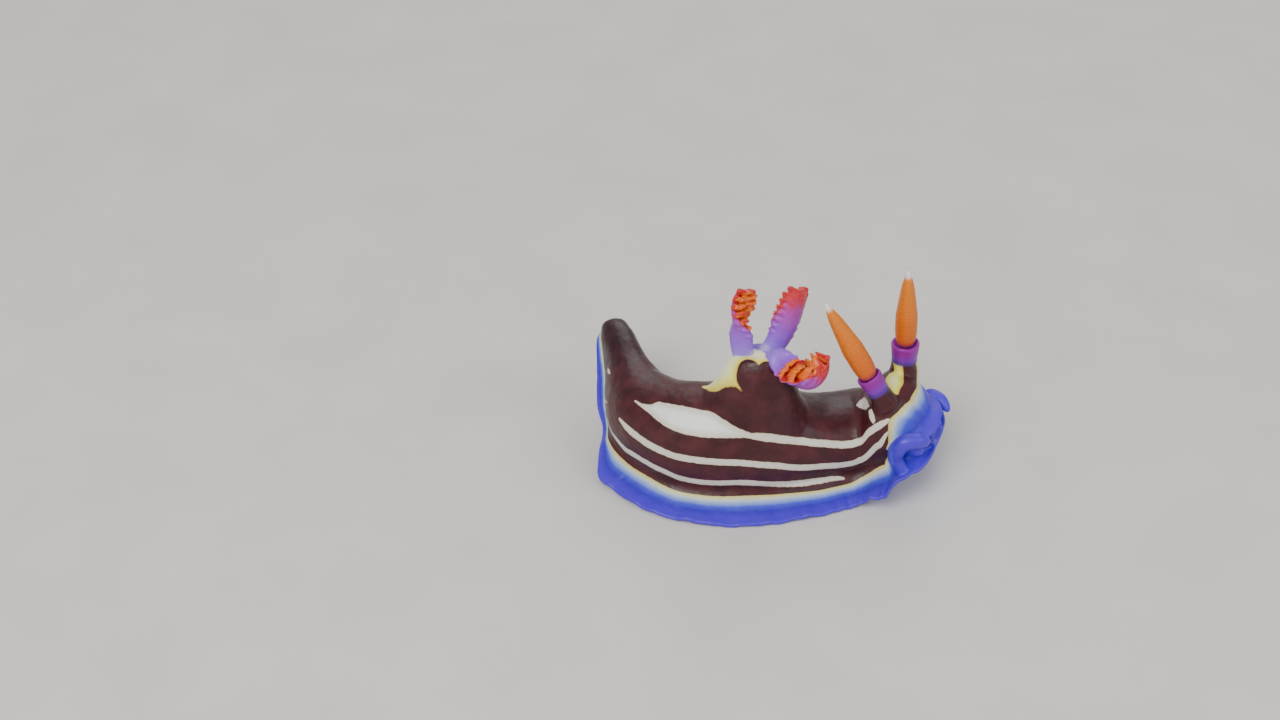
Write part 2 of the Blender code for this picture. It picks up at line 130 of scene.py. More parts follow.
# On the left the fold lies lower and is thinner
LEFT_FOLD_DROP, LEFT_FOLD_SHARE = 2.0, 0.8
# The tentacle beside the mouth, as (forward, aside, up, half its thickness, half its height)
TENTACLE = (
    *((1.2, 3.9, 5.6, 0.9, 1.0), (2.6, 4.7, 5.6, 0.8, 1.1), (4.0, 5.1, 5.4, 0.7, 1.1)),
    *((5.2, 5.2, 5.1, 0.6, 1.0), (6.0, 5.1, 4.9, 0.5, 0.75), (6.4, 5.0, 4.7, 0.3, 0.4)),
)
MOUTH_UP, MOUTH_HALF_WIDTH, MOUTH_HALF_HEIGHT = 3.9, 1.9, 0.85

# The gills
GILL_RING = 2.1
GILL_TIP_ROUND = (0.86, 2.0)
GILL_BURIED = 1.2
LEAFLET_START, LEAFLET_SPAN = 0.31, 0.63
LEAFLET_HALF = 0.44
LEAFLET_PLEATS = 3.0
GILL_HALF_WIDTH = ((0.0, 1.5), (0.15, 1.6), (0.4, 2.0), (0.75, 2.25), (1.0, 2.0))
GILL_HALF_THICKNESS = ((0.0, 1.1), (0.3, 1.1), (0.6, 0.95), (0.85, 0.75), (1.0, 0.5))
# Each gill: its root's angle round the mound, the offsets of the curve's three further knots, the ways that
# its leaflets face at the root and the tip, the pairs of leaflets, how tall they are, how far the blade's
# sides curl up, and how far the leaflets pass its edge
GILLS = (
    (
        *("gill_upright", 175.0, ((-0.5, 0.5, 2.8), (-0.9, 1.6, 6.2), (0.1, 2.7, 8.5))),
        *((0.45, 0.9, 0.1), (0.8, -0.6, 0.1), 7, 1.3, 0.2, 0.3),
    ),
    (
        *("gill_leaning", 25.0, ((1.4, 0.2, 1.9), (2.7, 1.0, 5.9), (3.4, 1.7, 8.2))),
        *((-0.15, 0.95, 0.1), (-0.6, 0.75, 0.1), 7, 1.3, 0.2, 0.3),
    ),
    (
        *("gill_drooping", -38.0, ((0.9, -2.2, 3.3), (4.6, -5.6, -6.2), (7.4, 0.7, -0.1))),
        *((-0.6, 0.15, 0.8), (-0.6, 0.15, 0.8), 8, 3.3, 0.9, -0.4),
    ),
)

# The ridge between the gills' roots, as (ahead, left) from the middle of the mound
CROWN_RIDGE = ((-2.6, 0.1), (-2.0, 1.2), (-0.7, 1.9), (0.9, 1.6), (1.9, 0.8), (2.1, -0.3), (1.8, -1.4))
CROWN_RADIUS = 0.9
# The purple of the mound's top: how far it reaches, from what height, and where it starts on the right side,
# as (ahead, left)
CROWN_PURPLE_REACH, CROWN_PURPLE_UP = 3.5, 19.0
CROWN_NEAR_EDGE = ((-3.7, 0.2), (-2.6, 0.1), (-1.4, 1.5), (0.5, 0.1), (1.1, -2.4), (1.6, -3.1))

# The nodes of flesh that the one skin takes the place of
SKIN_NODES = ["tail", "body_rear", "body_middle", "body_front", "head"]
SKIN_NODES += ["foot_tail", "foot_rear", "foot_middle", "foot_front"]
SKIN_VOXEL = 0.15
GILL_VOXEL = 0.085

FLOOR_HALF = 3.0
# The camera's place, how far it looks down, its lens and its sensor
CAMERA_PLACE = (-17.87, -196.73, 159.42)
CAMERA_DOWN = 36.0
CAMERA_LENS, CAMERA_SENSOR = 50.0, 36.0


# Curves and the spine


def smooth(value, start, end):
    """0 at start, 1 at end, and smooth between."""
    x = np.clip((np.asarray(value, float) - start) / (end - start), 0.0, 1.0)
    return x * x * (3.0 - 2.0 * x)


def along(knots, t):
    """A smooth curve through (station, value) pairs that never overshoots them."""
    xs, ys = (np.array(v, float) for v in zip(*knots))
    steps, slopes = np.diff(xs), np.diff(ys) / np.diff(xs)
    bends = np.zeros(len(xs))
    bends[0], bends[-1] = slopes[0], slopes[-1]
    for i in range(1, len(xs) - 1):
        if slopes[i - 1] * slopes[i] > 0:
            bends[i] = 2.0 / (1.0 / slopes[i - 1] + 1.0 / slopes[i])
    t = np.clip(np.asarray(t, float), xs[0], xs[-1])
    i = np.clip(np.searchsorted(xs, t, side="right") - 1, 0, len(steps) - 1)
    h = steps[i]
    x = (t - xs[i]) / h
    rise = ys[i] * (1 + 2 * x) * (1 - x) ** 2 + ys[i + 1] * x * x * (3 - 2 * x)
    return rise + h * x * (1 - x) * (bends[i] * (1 - x) - bends[i + 1] * x)


def evenly(rows, share):
    """Each column of some rows as a smooth curve, where the rows are evenly spaced from 0 to 1."""
    place = np.linspace(0.0, 1.0, len(rows))
    return [along(list(zip(place, values)), share) for values in zip(*rows)]


def hump(value, middle, half):
    """A smooth hump of height 1 round a middle."""
    return np.exp(-(((value - middle) / half) ** 2))


def rounded(t, start, end, power):
    """1 before start, then falling as a rounded corner does to 0 at end."""
    x = np.clip((np.asarray(t, float) - start) / (end - start), 0.0, 1.0)
    return (1.0 - x**power) ** (1.0 / power)


def tail_rounded(t):
    return rounded(t, TAIL_ROUND[0], TAIL_END, TAIL_ROUND[1])


def bent(bends, t):
    """The sum of the bends at the stations, in radians, as measured from the part that rests."""
    return np.radians(sum(a * (smooth(t, s, e) - smooth(REST_AT, s, e)) for s, e, a in bends))


def spine_points():
    stations = np.arange(TAIL_END - 1.0, FOOT_END + SPINE_BEYOND, SPINE_STEP)
    middle = stations[:-1] + SPINE_STEP / 2
    turn, lift = bent(TURNS, middle), bent(LIFTS, middle)
    steps = np.stack([np.cos(lift) * np.cos(turn), np.cos(lift) * np.sin(turn), np.sin(lift)], axis=1)
    places = np.vstack([np.zeros(3), np.cumsum(steps * SPINE_STEP, axis=0)])
    rest = [np.interp(REST_AT, stations, places[:, k]) for k in range(3)]
    return stations, places - rest + np.array([REST_X, REST_Y, 0.0])


STATIONS, PLACES = spine_points()


def frames(t):
    """The sole's places at some stations, with the forward, left and up directions there."""
    t = np.atleast_1d(np.asarray(t, float))
    turn, roll, lift = bent(TURNS, t), bent(ROLLS, t)[:, None], LEAN * bent(LIFTS, t)
    origin = np.stack([np.interp(t, STATIONS, PLACES[:, k]) for k in range(3)], axis=-1)
    forward = np.stack([np.cos(lift) * np.cos(turn), np.cos(lift) * np.sin(turn), np.sin(lift)], axis=-1)
    level = np.stack([-np.sin(turn), np.cos(turn), 0 * turn], axis=-1)
    upright = np.cross(forward, level)
    left = level * np.cos(roll) + upright * np.sin(roll)
    up = upright * np.cos(roll) - level * np.sin(roll)
    return origin, forward, left, up


def placed(t, left, up):
    """Points of the rings at stations t, one row of (left, up) for each."""
    origin, _, left_way, up_way = frames(t)
    return origin[:, None] + left_way[:, None] * left[..., None] + up_way[:, None] * up[..., None]


HEAD = [v[0] for v in frames(HEAD_AT)]


def head_place(forward, left, up):
    """Points placed from the sole at the head's station."""
    parts = np.broadcast_arrays(*(np.asarray(v, float) for v in (forward, left, up)))
    return HEAD[0] + sum(way * part[..., None] for way, part in zip(HEAD[1:], parts))


def head_way(forward, left, up):
    way = HEAD[1] * forward + HEAD[2] * left + HEAD[3] * up
    return way / np.linalg.norm(way)


HEAD_WAYS = {name: np.array(way) / np.linalg.norm(way) for name, _, _, way, _ in RHINOPHORES}


# Sizes of the body


def half_width(t):
    return along(HALF_WIDTH, t) * tail_rounded(t) * rounded(t, HEAD_ROUND[0], BODY_END, HEAD_ROUND[1])


def foot_height(t):
    return along(FOOT_HEIGHT, t)


def body_height(t):
    base = foot_height(t)
    over = (along(HEIGHT, t) - base) * tail_rounded(t)
    return base + over * rounded(t, CROWN_ROUND[0], BODY_END, CROWN_ROUND[1])


def waist_height(t):
    base = foot_height(t)
    return base + WAIST_SHARE * (body_height(t) - base)


def crown_height(left):
    """The height of the mound's top."""
    return CROWN_HEIGHT - CROWN_SLOPE * np.clip(left, -2.6, 3.0)


def with_mound(t, left, up):
    """Lifts points of the back onto the mound of the gills."""
    share = 1.0 - smooth(np.hypot(t - MOUND_AT, left), CROWN_EDGE, MOUND_FOOT_RADIUS)
    above = smooth(up / body_height(t), WAIST_SHARE, 0.8)
    return up + (crown_height(left) - up) * share * above


def waves(*terms):
    """A sum of sines over arrays, each term as (height, argument)."""
    return sum(height * np.sin(argument) for height, argument in terms)


# Closed surfaces in millimetres, as (points, faces)


def ring_faces(count, around, rows):
    """Faces between neighbouring rings, for the given number of rows."""
    i, j = np.arange(around), np.roll(np.arange(around), -1)
    faces = []
    for row in range(rows):
        low, high = row * around, (row + 1) % count * around
        faces += np.stack([low + i, low + j, high + j, high + i], axis=1).tolist()
    return faces


def lofted(rings):
    """A closed surface through rings of points, with a fan of faces at each end."""
    count, around = rings.shape[:2]
    points = np.concatenate([rings.reshape(-1, 3), rings[0].mean(0)[None], rings[-1].mean(0)[None]])
    i, j = np.arange(around), np.roll(np.arange(around), -1)
    first, last, top = count * around, count * around + 1, (count - 1) * around
    faces = ring_faces(count, around, count - 1)
    faces += np.stack([j, i, np.full(around, first)], axis=1).tolist()
    faces += np.stack([top + i, top + j, np.full(around, last)], axis=1).tolist()
    return points, faces


def closing_stations(start, end, step, ends=1.5):
    """Stations from start to end, drawn together at both ends."""
    count = int((end - start - 2 * ends) / step)
    few = int(ends / step) + 6
    quarter = np.sin(0.5 * math.pi * np.arange(few) / few)
    head = end - ends + ends * quarter
    tail = start + ends - ends * quarter[::-1]
    return np.concatenate([tail[:-1], np.linspace(start + ends, end - ends, count), head[1:]])


def body_surface():
    t = closing_stations(TAIL_END + 0.01, BODY_END - 0.01, 0.25)[:, None]
    wide, base, top = half_width(t), foot_height(t), body_height(t)
    waist = waist_height(t)
    depth = (waist - base) / math.sqrt(1.0 - BASE_SHARE**2)
    floor = 0.45 * base
    low_up = floor + (waist - floor) * np.linspace(0.0, 1.0, 14)[None, :-1]
    low_left = wide * np.sqrt(np.clip(1.0 - ((waist - low_up) / depth) ** 2, 0.55, 1.0))
    angle = np.linspace(0.0, math.pi, 121)[None, :]
    cosine, sine = np.cos(angle), np.sin(angle).clip(0.0)
    left = -wide * np.sign(cosine) * np.abs(cosine) ** (2.0 / FLANK_POWER)
    up = with_mound(t, left, waist + (top - waist) * sine ** (2.0 / FLANK_POWER))
    lefts = np.concatenate([-low_left, left, low_left[:, ::-1]], axis=1)
    ups = np.concatenate([low_up, up, low_up[:, ::-1]], axis=1)
    return lofted(placed(t[:, 0], lefts, ups))


def ripple(t, side):
    """How far the edge of the foot stands up at a station."""
    phase = 0.6 if side < 0 else 2.4
    short, long = (2 * math.pi * t / length + phase for length in FRILL_LENGTHS)
    wave = 0.5 + 0.5 * np.sin(short) * np.cos(long)
    corner = FRONT_CORNER_UP * (1.0 - smooth(np.abs(t - FRONT_CORNER_AT), 0.0, FRONT_CORNER_HALF))
    return wave * (0.45 + 0.5 * smooth(t, 50.0, 57.0)) + corner


def fine_ripple(t, side):
    return waves((0.10, 2.6 * t + side), (0.05, 4.3 * t + 2.0 * side), (0.02, 7.9 * t))


def foot_reach(t, side):
    """The foot's reach on one side, and what it would be without the rounding of its front."""
    full = along(FOOT_RIGHT if side < 0 else FOOT_LEFT, t) * tail_rounded(t)
    if side < 0:
        full = full + sum(added * hump(t, at, half) for at, added, half in FOOT_CORNER)
    return full * rounded(t, FOOT_ROUND[0], FOOT_END, FOOT_ROUND[1]), full


def foot_inside(t, left, side):
    """0 at the edge of the foot's margin and 1 where the margin meets the body."""
    _, full = foot_reach(t, side)
    front = np.clip((t - FOOT_ROUND[0]) / (FOOT_END - FOOT_ROUND[0]), 0.0, None)
    margin = full - np.minimum(BASE_SHARE * along(HALF_WIDTH, t), 0.75 * full)
    level = (np.abs(left / full) ** FOOT_ROUND[1] + front ** FOOT_ROUND[1]) ** (1.0 / FOOT_ROUND[1])
    return np.clip((1.0 - level) * full / margin, 0.0, 1.0)


def foot_surface():
    t = closing_stations(TAIL_END + 0.02, FOOT_END - 0.01, 0.25, 2.5)[:, None]
    base = foot_height(t)
    fillet = 1.5 * half_width(t) / 6.8
    tops, soles, outs = [], [], []
    for side in (-1, 1):
        reach, _ = foot_reach(t, side)
        share = np.sin(0.5 * math.pi * np.linspace(0.0, 1.0, 46))[None, :]
        left = reach * share
        inside = foot_inside(t, left, side)
        nose = np.sqrt(np.clip(1.0 - np.clip((left - reach + 0.3) / 0.3, 0.0, 1.0) ** 2, 0.02, 1.0))
        thick = MARGIN_EDGE + (base - MARGIN_EDGE) * inside**1.25
        beside = np.clip(left - BASE_SHARE * half_width(t), 0.0, None)
        lift = (ripple(t, side) + fine_ripple(t, side) * smooth(t, 3, 8)) * (1.0 - inside) ** 1.6
        lift = np.clip(lift, 0.0, None)
        middle = lift + 0.5 * thick
        tops.append(middle + 0.5 * thick * nose + fillet * np.exp(-beside / 0.8) * inside)
        soles.append(middle - 0.5 * thick * nose)
        outs.append(side * left)
    lefts = np.concatenate([outs[0][:, ::-1], outs[1], outs[1][:, ::-1], outs[0]], axis=1)
    ups = np.concatenate([tops[0][:, ::-1], tops[1], soles[1][:, ::-1], soles[0]], axis=1)
    return lofted(placed(t[:, 0], lefts, ups))


def ring_round(direction, beside, around):
    """Ways that lead straight out from a line, all round it."""
    first = np.cross(direction, beside)
    first /= np.linalg.norm(first)
    second = np.cross(direction, first)
    angle = np.linspace(0.0, 2.0 * math.pi, around, endpoint=False)[:, None]
    return first * np.cos(angle) + second * np.sin(angle)


def sheath_surface(base, radii, direction):
    """The raised collar that a feeler stands in, with a shallow pocket in its top."""
    foot, rim = radii
    profile = (
        *((-2.0, foot + 0.3), (-0.6, foot + 0.15), (0.4, foot), (1.2, foot), (2.0, 0.5 * (foot + rim))),
        *((2.7, rim - 0.02), (3.2, rim + 0.06), (3.5, rim + 0.04), (3.62, rim - 0.08), (3.6, rim - 0.24)),
        *((3.45, rim - 0.36), (3.2, 1.2), (3.0, 0.8), (2.95, 0.1)),
    )
    start, ring = head_place(*base), ring_round(direction, [0.3, 0.9, 0.1], 72)
    return lofted(np.array([start + direction * at + ring * radius for at, radius in profile]))


def veil_surface():
    """The flared lip over the mouth."""
    ahead = BODY_END - HEAD_AT - 1.2
    aside = float(half_width(HEAD_AT)) - 0.7
    part_way = np.linspace(0.0, 1.0, 140)[:, None]
    angle = np.radians(VEIL_START + (VEIL_END - VEIL_START) * part_way)
    fade = np.minimum(1.0, 0.35 + 1.9 * np.sin(math.pi * part_way))
    wave = waves((0.28, 5.0 * angle + 0.7), (0.08, 11.0 * angle))
    share, thick = np.array(VEIL_PROFILE).T[:, None]
    flare = np.clip(share, 0.0, None)
    out = VEIL_REACH * fade * share
    forward = (ahead + out) * np.cos(angle) - 0.2
    left = (aside + 0.75 * out) * np.sin(angle)
    up = VEIL_UP - VEIL_DROOP * fade * flare**1.5 + wave * flare
    sides = [head_place(forward, left, up + 0.5 * thick * way) for way in (1, -1)]
    return lofted(np.concatenate([sides[0], sides[1][:, ::-1]], axis=1))


def ellipse_ring(centre, first, second, around=32):
    angle = np.linspace(0.0, 2.0 * math.pi, around, endpoint=False)[:, None]
    return centre + first * np.cos(angle) + second * np.sin(angle)


def tentacle_surface(side):
    """A short flattened feeler beside the mouth, under the veil."""
    across = head_way(0.0, 0.9, -0.25 * side)
    rings = []
    for forward, aside, up, thick, tall in zip(*evenly(TENTACLE, np.linspace(0.0, 1.0, 30))):
        centre = head_place(forward, side * aside, up)
        rings.append(ellipse_ring(centre, across * thick, HEAD[3] * tall))
    return lofted(np.array(rings))


def round_ends(share, power):
    """The share of a tube's radius, which closes round at both ends."""
    return np.sqrt(np.clip(1.0 - np.abs(2.0 * share - 1.0) ** power, 0.02, 1.0))


def fold_path(side):
    """The middle of the fold beside the head, and its radius there."""
    share = np.linspace(0.0, 1.0, 60)
    forward, aside, up, radius = evenly(HEAD_FOLD, share)
    if side > 0:
        up, radius = up - LEFT_FOLD_DROP, LEFT_FOLD_SHARE * radius
    return head_place(forward, side * aside, up), radius * round_ends(share, 8)


def fold_surface(side):
    """A thick fold of the veil that curls back beside the head and runs down to the corner of the foot."""
    return tube(*fold_path(side))


def lips_surface():
    """The swollen rim of the mouth."""
    rings = []
    for a in np.linspace(0.0, 2.0 * math.pi, 80, endpoint=False):
        aside, up = MOUTH_HALF_WIDTH * math.cos(a), MOUTH_UP + MOUTH_HALF_HEIGHT * math.sin(a)
        centre = head_place(BODY_END - HEAD_AT - 0.5, aside, up)
        out = HEAD[2] * math.cos(a) + HEAD[3] * math.sin(a)
        rings.append(ellipse_ring(centre, out * 0.5, HEAD[1] * 0.6, 20))
    rings = np.array(rings)
    count, around = rings.shape[:2]
    return rings.reshape(-1, 3), ring_faces(count, around, count)


def tube(path, radius):
    """A closed tube along a path, with a radius at each of its points."""
    way = np.gradient(path, axis=0)
    way /= np.linalg.norm(way, axis=1, keepdims=True)
    side = np.cross(way, [0.0, 0.0, 1.0])
    side /= np.linalg.norm(side, axis=1, keepdims=True)
    top = np.cross(side, way)
    angle = np.linspace(0.0, 2.0 * math.pi, 28, endpoint=False)[None, :, None]
    round_way = side[:, None] * np.cos(angle) + top[:, None] * np.sin(angle)
    return lofted(path[:, None] + radius[:, None, None] * round_way)


def crown_surface():
    """The ridge that joins the gills' roots."""
    share = np.linspace(0.0, 1.0, 60)
    ahead, left = evenly(CROWN_RIDGE, share)
    up = crown_height(left) - 0.5
    origin, *ways = (v[0] for v in frames(MOUND_AT))
    path = origin + sum(np.outer(part, way) for part, way in zip((ahead, left, up), ways))
    return tube(path, CROWN_RADIUS * round_ends(share, 6))


def crown_distance(t, left, up):
    """Distance inside the purple on top of the mound."""
    ahead = t - MOUND_AT
    near_side = left - along(CROWN_NEAR_EDGE, ahead)
    inside = np.minimum(near_side, CROWN_PURPLE_REACH - np.hypot(ahead, left))
    return np.minimum(inside, up - CROWN_PURPLE_UP)


# Work on the joined surface


def add_object(name, data):
    made = bpy.data.objects.new(name, data)
    bpy.context.scene.collection.objects.link(made)
    return made


def arrays_of(mesh):
    """The points of a mesh, and its edges as pairs of indices."""
    points = np.empty(len(mesh.vertices) * 3, np.float32)
    mesh.vertices.foreach_get("co", points)
    edges = np.empty(len(mesh.edges) * 2, np.int32)
    mesh.edges.foreach_get("vertices", edges)
    return points.reshape(-1, 3).astype(float), edges.reshape(-1, 2)


def joined(name, surfaces, voxel):
    """One closed surface round all the given ones, as a mesh object still in millimetres."""
    points, faces, offset = [], [], 0
    for some_points, some_faces in surfaces:
        points.append(some_points)
        faces += [[index + offset for index in face] for face in some_faces]
        offset += len(some_points)
    data = bpy.data.meshes.new(name)
    data.from_pydata(np.concatenate(points).tolist(), [], faces)
    made = add_object(name, data)
    step = made.modifiers.new("joined", "REMESH")
    step.mode = "VOXEL"
    step.voxel_size = voxel
    bpy.context.view_layer.update()
    evaluated = made.evaluated_get(bpy.context.evaluated_depsgraph_get())
    result = bpy.data.meshes.new_from_object(evaluated)
    made.modifiers.clear()
    made.data = result
    bpy.data.meshes.remove(data)
    keep_largest(made)
    return made


def keep_largest(made):
    """Leaves only the connected surface that has the most points."""
    mesh = bmesh.new()
    mesh.from_mesh(made.data)
    seen, groups = set(), []
    for start in mesh.verts:
        if start.index in seen:
            continue
        seen.add(start.index)
        waiting, group = [start], [start]
        while waiting:
            for edge in waiting.pop().link_edges:
                for vert in edge.verts:
                    if vert.index not in seen:
                        seen.add(vert.index)
                        waiting.append(vert)
                        group.append(vert)
        groups.append(group)
    groups.sort(key=len)
    spare = [vert for group in groups[:-1] for vert in group]
    if spare:
        bmesh.ops.delete(mesh, geom=spare, context="VERTS")
        mesh.to_mesh(made.data)
    mesh.free()


def relaxed(points, edges, rounds, weight=1.0, keep_volume=True):
    """Points drawn towards the middle of their neighbours, without shrinking unless asked."""
    count = np.bincount(edges.ravel(), minlength=len(points)).astype(float)[:, None]
    weight = np.asarray(weight, float).reshape(-1, 1)
    for step in range(rounds * (2 if keep_volume else 1)):
        total = np.zeros_like(points)
        for k in range(3):
            total[:, k] = np.bincount(edges[:, 0], points[edges[:, 1], k], len(points))
            total[:, k] += np.bincount(edges[:, 1], points[edges[:, 0], k], len(points))
        pull = -0.53 if keep_volume and step % 2 else 0.5
        points = points + pull * weight * (total / count - points)
    return points


def nearest(points, known):
    """For each point, the index of the nearest known one."""
    tree = KDTree(len(known))
    for i, place in enumerate(known):
        tree.insert(place, i)
    tree.balance()
    return np.array([tree.find(place)[1] for place in points])


def station_of(points, known_points, known_stations):
    """The station of each point's cross section."""
    start = known_stations[nearest(points, known_points)]
    t = start.copy()
    for _ in range(10):
        origin, forward, _, _ = frames(t)
        ahead = np.einsum("ij,ij->i", points - origin, forward)
        t = np.clip(t + 0.8 * ahead, start - 2.0, start + 2.0)
        t = np.clip(t, TAIL_END - 1.0, FOOT_END + SPINE_BEYOND - 0.2)
    return t


def spine_grid():
    """Points over the body with their stations, for a first guess."""
    t = np.arange(0.5, FOOT_END + 2.0, 0.5)
    points, stations = [], []
    for share_left in (-1.2, -0.8, -0.4, 0.0, 0.4, 0.8, 1.2):
        for share_up in (0.0, 0.4, 0.8, 1.1):
            left, up = share_left * along(HALF_WIDTH, t), share_up * along(HEIGHT, t)
            points.append(placed(t, left[:, None], up[:, None])[:, 0])
            stations.append(t)
    return np.concatenate(points), np.concatenate(stations)


def section_place(points):
    """Each point's station, and how far left and up it lies there."""
    t = station_of(points, *spine_grid())
    origin, _, left_way, up_way = frames(t)
    away = points - origin
    return t, np.einsum("ij,ij->i", away, left_way), np.einsum("ij,ij->i", away, up_way)


def head_coordinates(points):
    away = points - HEAD[0]
    return [away @ way for way in HEAD[1:]]


def write_points(made, points):
    made.data.vertices.foreach_set("co", (points * MM).astype(np.float32).ravel())
    made.data.update()
    made.data.shade_smooth()


def write_value(made, name, values):
    layer = made.data.attributes.new(name, "FLOAT", "POINT")
    layer.data.foreach_set("value", np.asarray(values, np.float32))


# Markings, placed by (station, angle round the section) and measured in millimetres, above 0 inside

PATCH_UPPER = (
    *((21.0, 52), (22.4, 53), (23.6, 56), (24.5, 63), (27.4, 64)),
    *((31.0, 60), (32.6, 51), (34.0, 43), (35.6, 37)),
)
PATCH_LOWER = ((21.0, 51), (24.0, 47), (27.1, 38), (29.5, 34), (32.0, 33), (35.6, 34))
UPPER_STRIPE = (
    *((34.5, 35.5), (38, 34), (41.5, 32), (43.1, 30), (47, 28.5)),
    *((53.3, 27), (58.9, 24), (60.5, 28), (61.8, 35)),
)
MIDDLE_STRIPE = (
    *((20.3, 20), (23, 16), (26, 11), (29, 7), (34, 6), (38, 2)),
    *((43, -5), (48, -7), (55, -5), (59.6, 1), (61.4, 17)),
)
UPPER_HALF, MIDDLE_HALF, LOW_HALF = 0.52, 0.54, 0.55
# The lowest stripe, as (station, height above the sole)
LOW_STRIPE = (
    *((17.4, 5.2), (19.5, 4.6), (21.8, 4.6), (23.9, 5.2), (26.9, 5.0), (28.8, 4.4), (30.5, 4.35)),
    *((32.4, 4.5), (34.4, 4.7), (37.5, 4.1), (39.9, 3.55), (42.4, 3.2), (45.1, 2.95), (48.6, 2.6)),
)
# Drops on the tail, as station, angle, half the length, half the width and slant
TAIL_DROPS = ((11.0, 26, 1.0, 0.28, 6.0), (15.3, 2, 0.8, 0.26, 8.0))
HEAD_TRIANGLE = ((53.1, 80), (54.0, 89), (55.0, 92), (57.3, 68), (58.2, 56), (57.0, 58), (54.7, 72))
HEAD_STREAK = ((58.2, 51), (59.1, 50), (59.7, 42), (59.9, 34), (59.4, 31), (58.5, 41))
CREAM_PATCH = ((60.2, 91), (61.9, 71), (62.5, 74), (62.5, 100), (61.8, 124), (60.6, 119), (60.1, 110))
# How much further out than the foot's seam the margin's pale edge runs, by the station
MARGIN_OUT = (
    *((12, 0.0), (17, 0.9), (22, 0.6), (25, 0.4), (29, 1.1), (32, 1.0), (35, 0.8), (40, 1.2)),
    *((45, 1.8), (49, 1.7), (54, 0.9), (58, 0.0)),
)
# Dark lobes that reach up the mound, as (ahead, left) at both ends of a line, and the radius round it
LOBES = (((-2.0, -3.05), (0.0, -5.6), 1.05), ((0.3, -4.1), (1.0, -6.0), 1.2))
# How far the pale ring reaches from the middle of the mound, by the angle from the rear, right side first
RING_REACH = (
    *((-180, 4.0), (-120, 3.6), (-92, 3.4), (-71, 4.85), (-52, 4.8), (-38, 5.0), (-20, 5.8), (-8, 6.3)),
    *((2, 6.9), (8, 7.9), (13, 6.9), (22, 5.8), (38, 5.2), (55, 4.8), (73, 4.8), (95, 4.2), (120, 4.4)),
    (180, 4.0),
)
# Where the pale line crosses the head, as (section angle, station)
FACE_LINE = (
    *((-90, 57.5), (-40, 58.5), (-14, 60.7), (17, 61.4), (34, 61.8), (46, 62.7), (61, 63.3), (79, 63.7)),
    *((110, 63.7), (138, 63.0), (160, 61.6), (194, 60.7), (220, 58.5), (270, 57.5)),
)


def section_angle(t, left, up):
    """The angle round the section, 0 at the right flank, 90 on the back and 180 at the left flank."""
    wide, waist, top = half_width(t) + 0.01, waist_height(t), body_height(t)
    return np.degrees(np.arctan2((up - waist) / (top - waist + 0.01), -left / wide))


def arc_scale(t, angle):
    """Millimetres of skin for each degree of the section angle."""
    turn = np.radians(angle)
    wide, tall = half_width(t), body_height(t) - waist_height(t)
    return np.radians(1.0) * np.hypot(wide * np.sin(turn), tall * np.cos(turn))


def within(t, knots, inside):
    """The same distance, but below 0 before the station of the first knot and past that of the last."""
    beyond = np.maximum(knots[0][0] - t, t - knots[-1][0])
    return np.where(beyond > 0.0, np.minimum(inside, -beyond), inside)


def tapered(t, knots, rear, front, rear_power=0.6, front_power=0.6):
    """The share of a stripe's width, from 0 at its ends to 1 at the given lengths from them."""
    start, end = knots[0][0], knots[-1][0]
    rear_share = np.clip((t - start) / rear, 0.0, 1.0) ** rear_power
    return rear_share * np.clip((end - t) / front, 0.0, 1.0) ** front_power


def band_distance(t, angle, knots, half):
    """Distance inside a stripe that thins towards its ends."""
    wide = half * (0.25 + 0.75 * tapered(t, knots, 2.5, 1.2, front_power=0.5))
    return within(t, knots, wide - np.abs(angle - along(knots, t)) * arc_scale(t, angle))


def low_stripe_distance(t, up):
    """Distance inside the lowest stripe, which follows the foot and thins towards both ends."""
    wide = LOW_HALF * (0.2 + 0.8 * tapered(t, LOW_STRIPE, 4.0, 8.0))
    return within(t, LOW_STRIPE, wide - np.abs(up - along(LOW_STRIPE, t)))


def patch_distance(t, angle):
    """Distance inside the long patch that the upper stripe starts from."""
    above, below = along(PATCH_UPPER, t) - angle, angle - along(PATCH_LOWER, t)
    return within(t, PATCH_UPPER, np.minimum(above, below) * arc_scale(t, angle) + 0.05)


def drop_distance(t, angle, at, at_angle, long, half, slant):
    """Distance inside a short drop-shaped mark."""
    ahead = (t - at) / long
    aside = (angle - at_angle - slant * (t - at)) * arc_scale(t, angle) / half
    return (1.0 - np.hypot(ahead, aside)) * half


def polygon_distance(t, angle, corners):
    """Distance inside a mark with the given (station, angle) corners."""
    corners = np.array(corners, float)
    middle = corners.mean(axis=0)
    scale = np.array([1.0, float(arc_scale(*middle))])
    corners = (corners - middle) * scale
    x, y = t - middle[0], (angle - middle[1]) * scale[1]
    nearest = np.full(len(x), 1e3)
    inside = np.zeros(len(x), bool)
    for (x1, y1), (x2, y2) in zip(corners, np.roll(corners, -1, axis=0)):
        dx, dy = x2 - x1, y2 - y1
        share = np.clip(((x - x1) * dx + (y - y1) * dy) / (dx * dx + dy * dy), 0.0, 1.0)
        nearest = np.minimum(nearest, np.hypot(x - x1 - share * dx, y - y1 - share * dy))
        crosses = (y1 > y) != (y2 > y)
        at = x1 + (y - y1) * dx / (dy if abs(dy) > 1e-9 else 1e-9)
        inside ^= crosses & (x < at)
    return np.where(inside, nearest, -nearest)


def side_marks(t, angle):
    """White marks that both flanks have."""
    marks = [patch_distance(t, angle), polygon_distance(t, angle, HEAD_STREAK)]
    marks.append(band_distance(t, angle, UPPER_STRIPE, UPPER_HALF))
    marks.append(band_distance(t, angle, MIDDLE_STRIPE, MIDDLE_HALF))
    marks += [drop_distance(t, angle, *drop) for drop in TAIL_DROPS]
    return np.max(marks, axis=0)


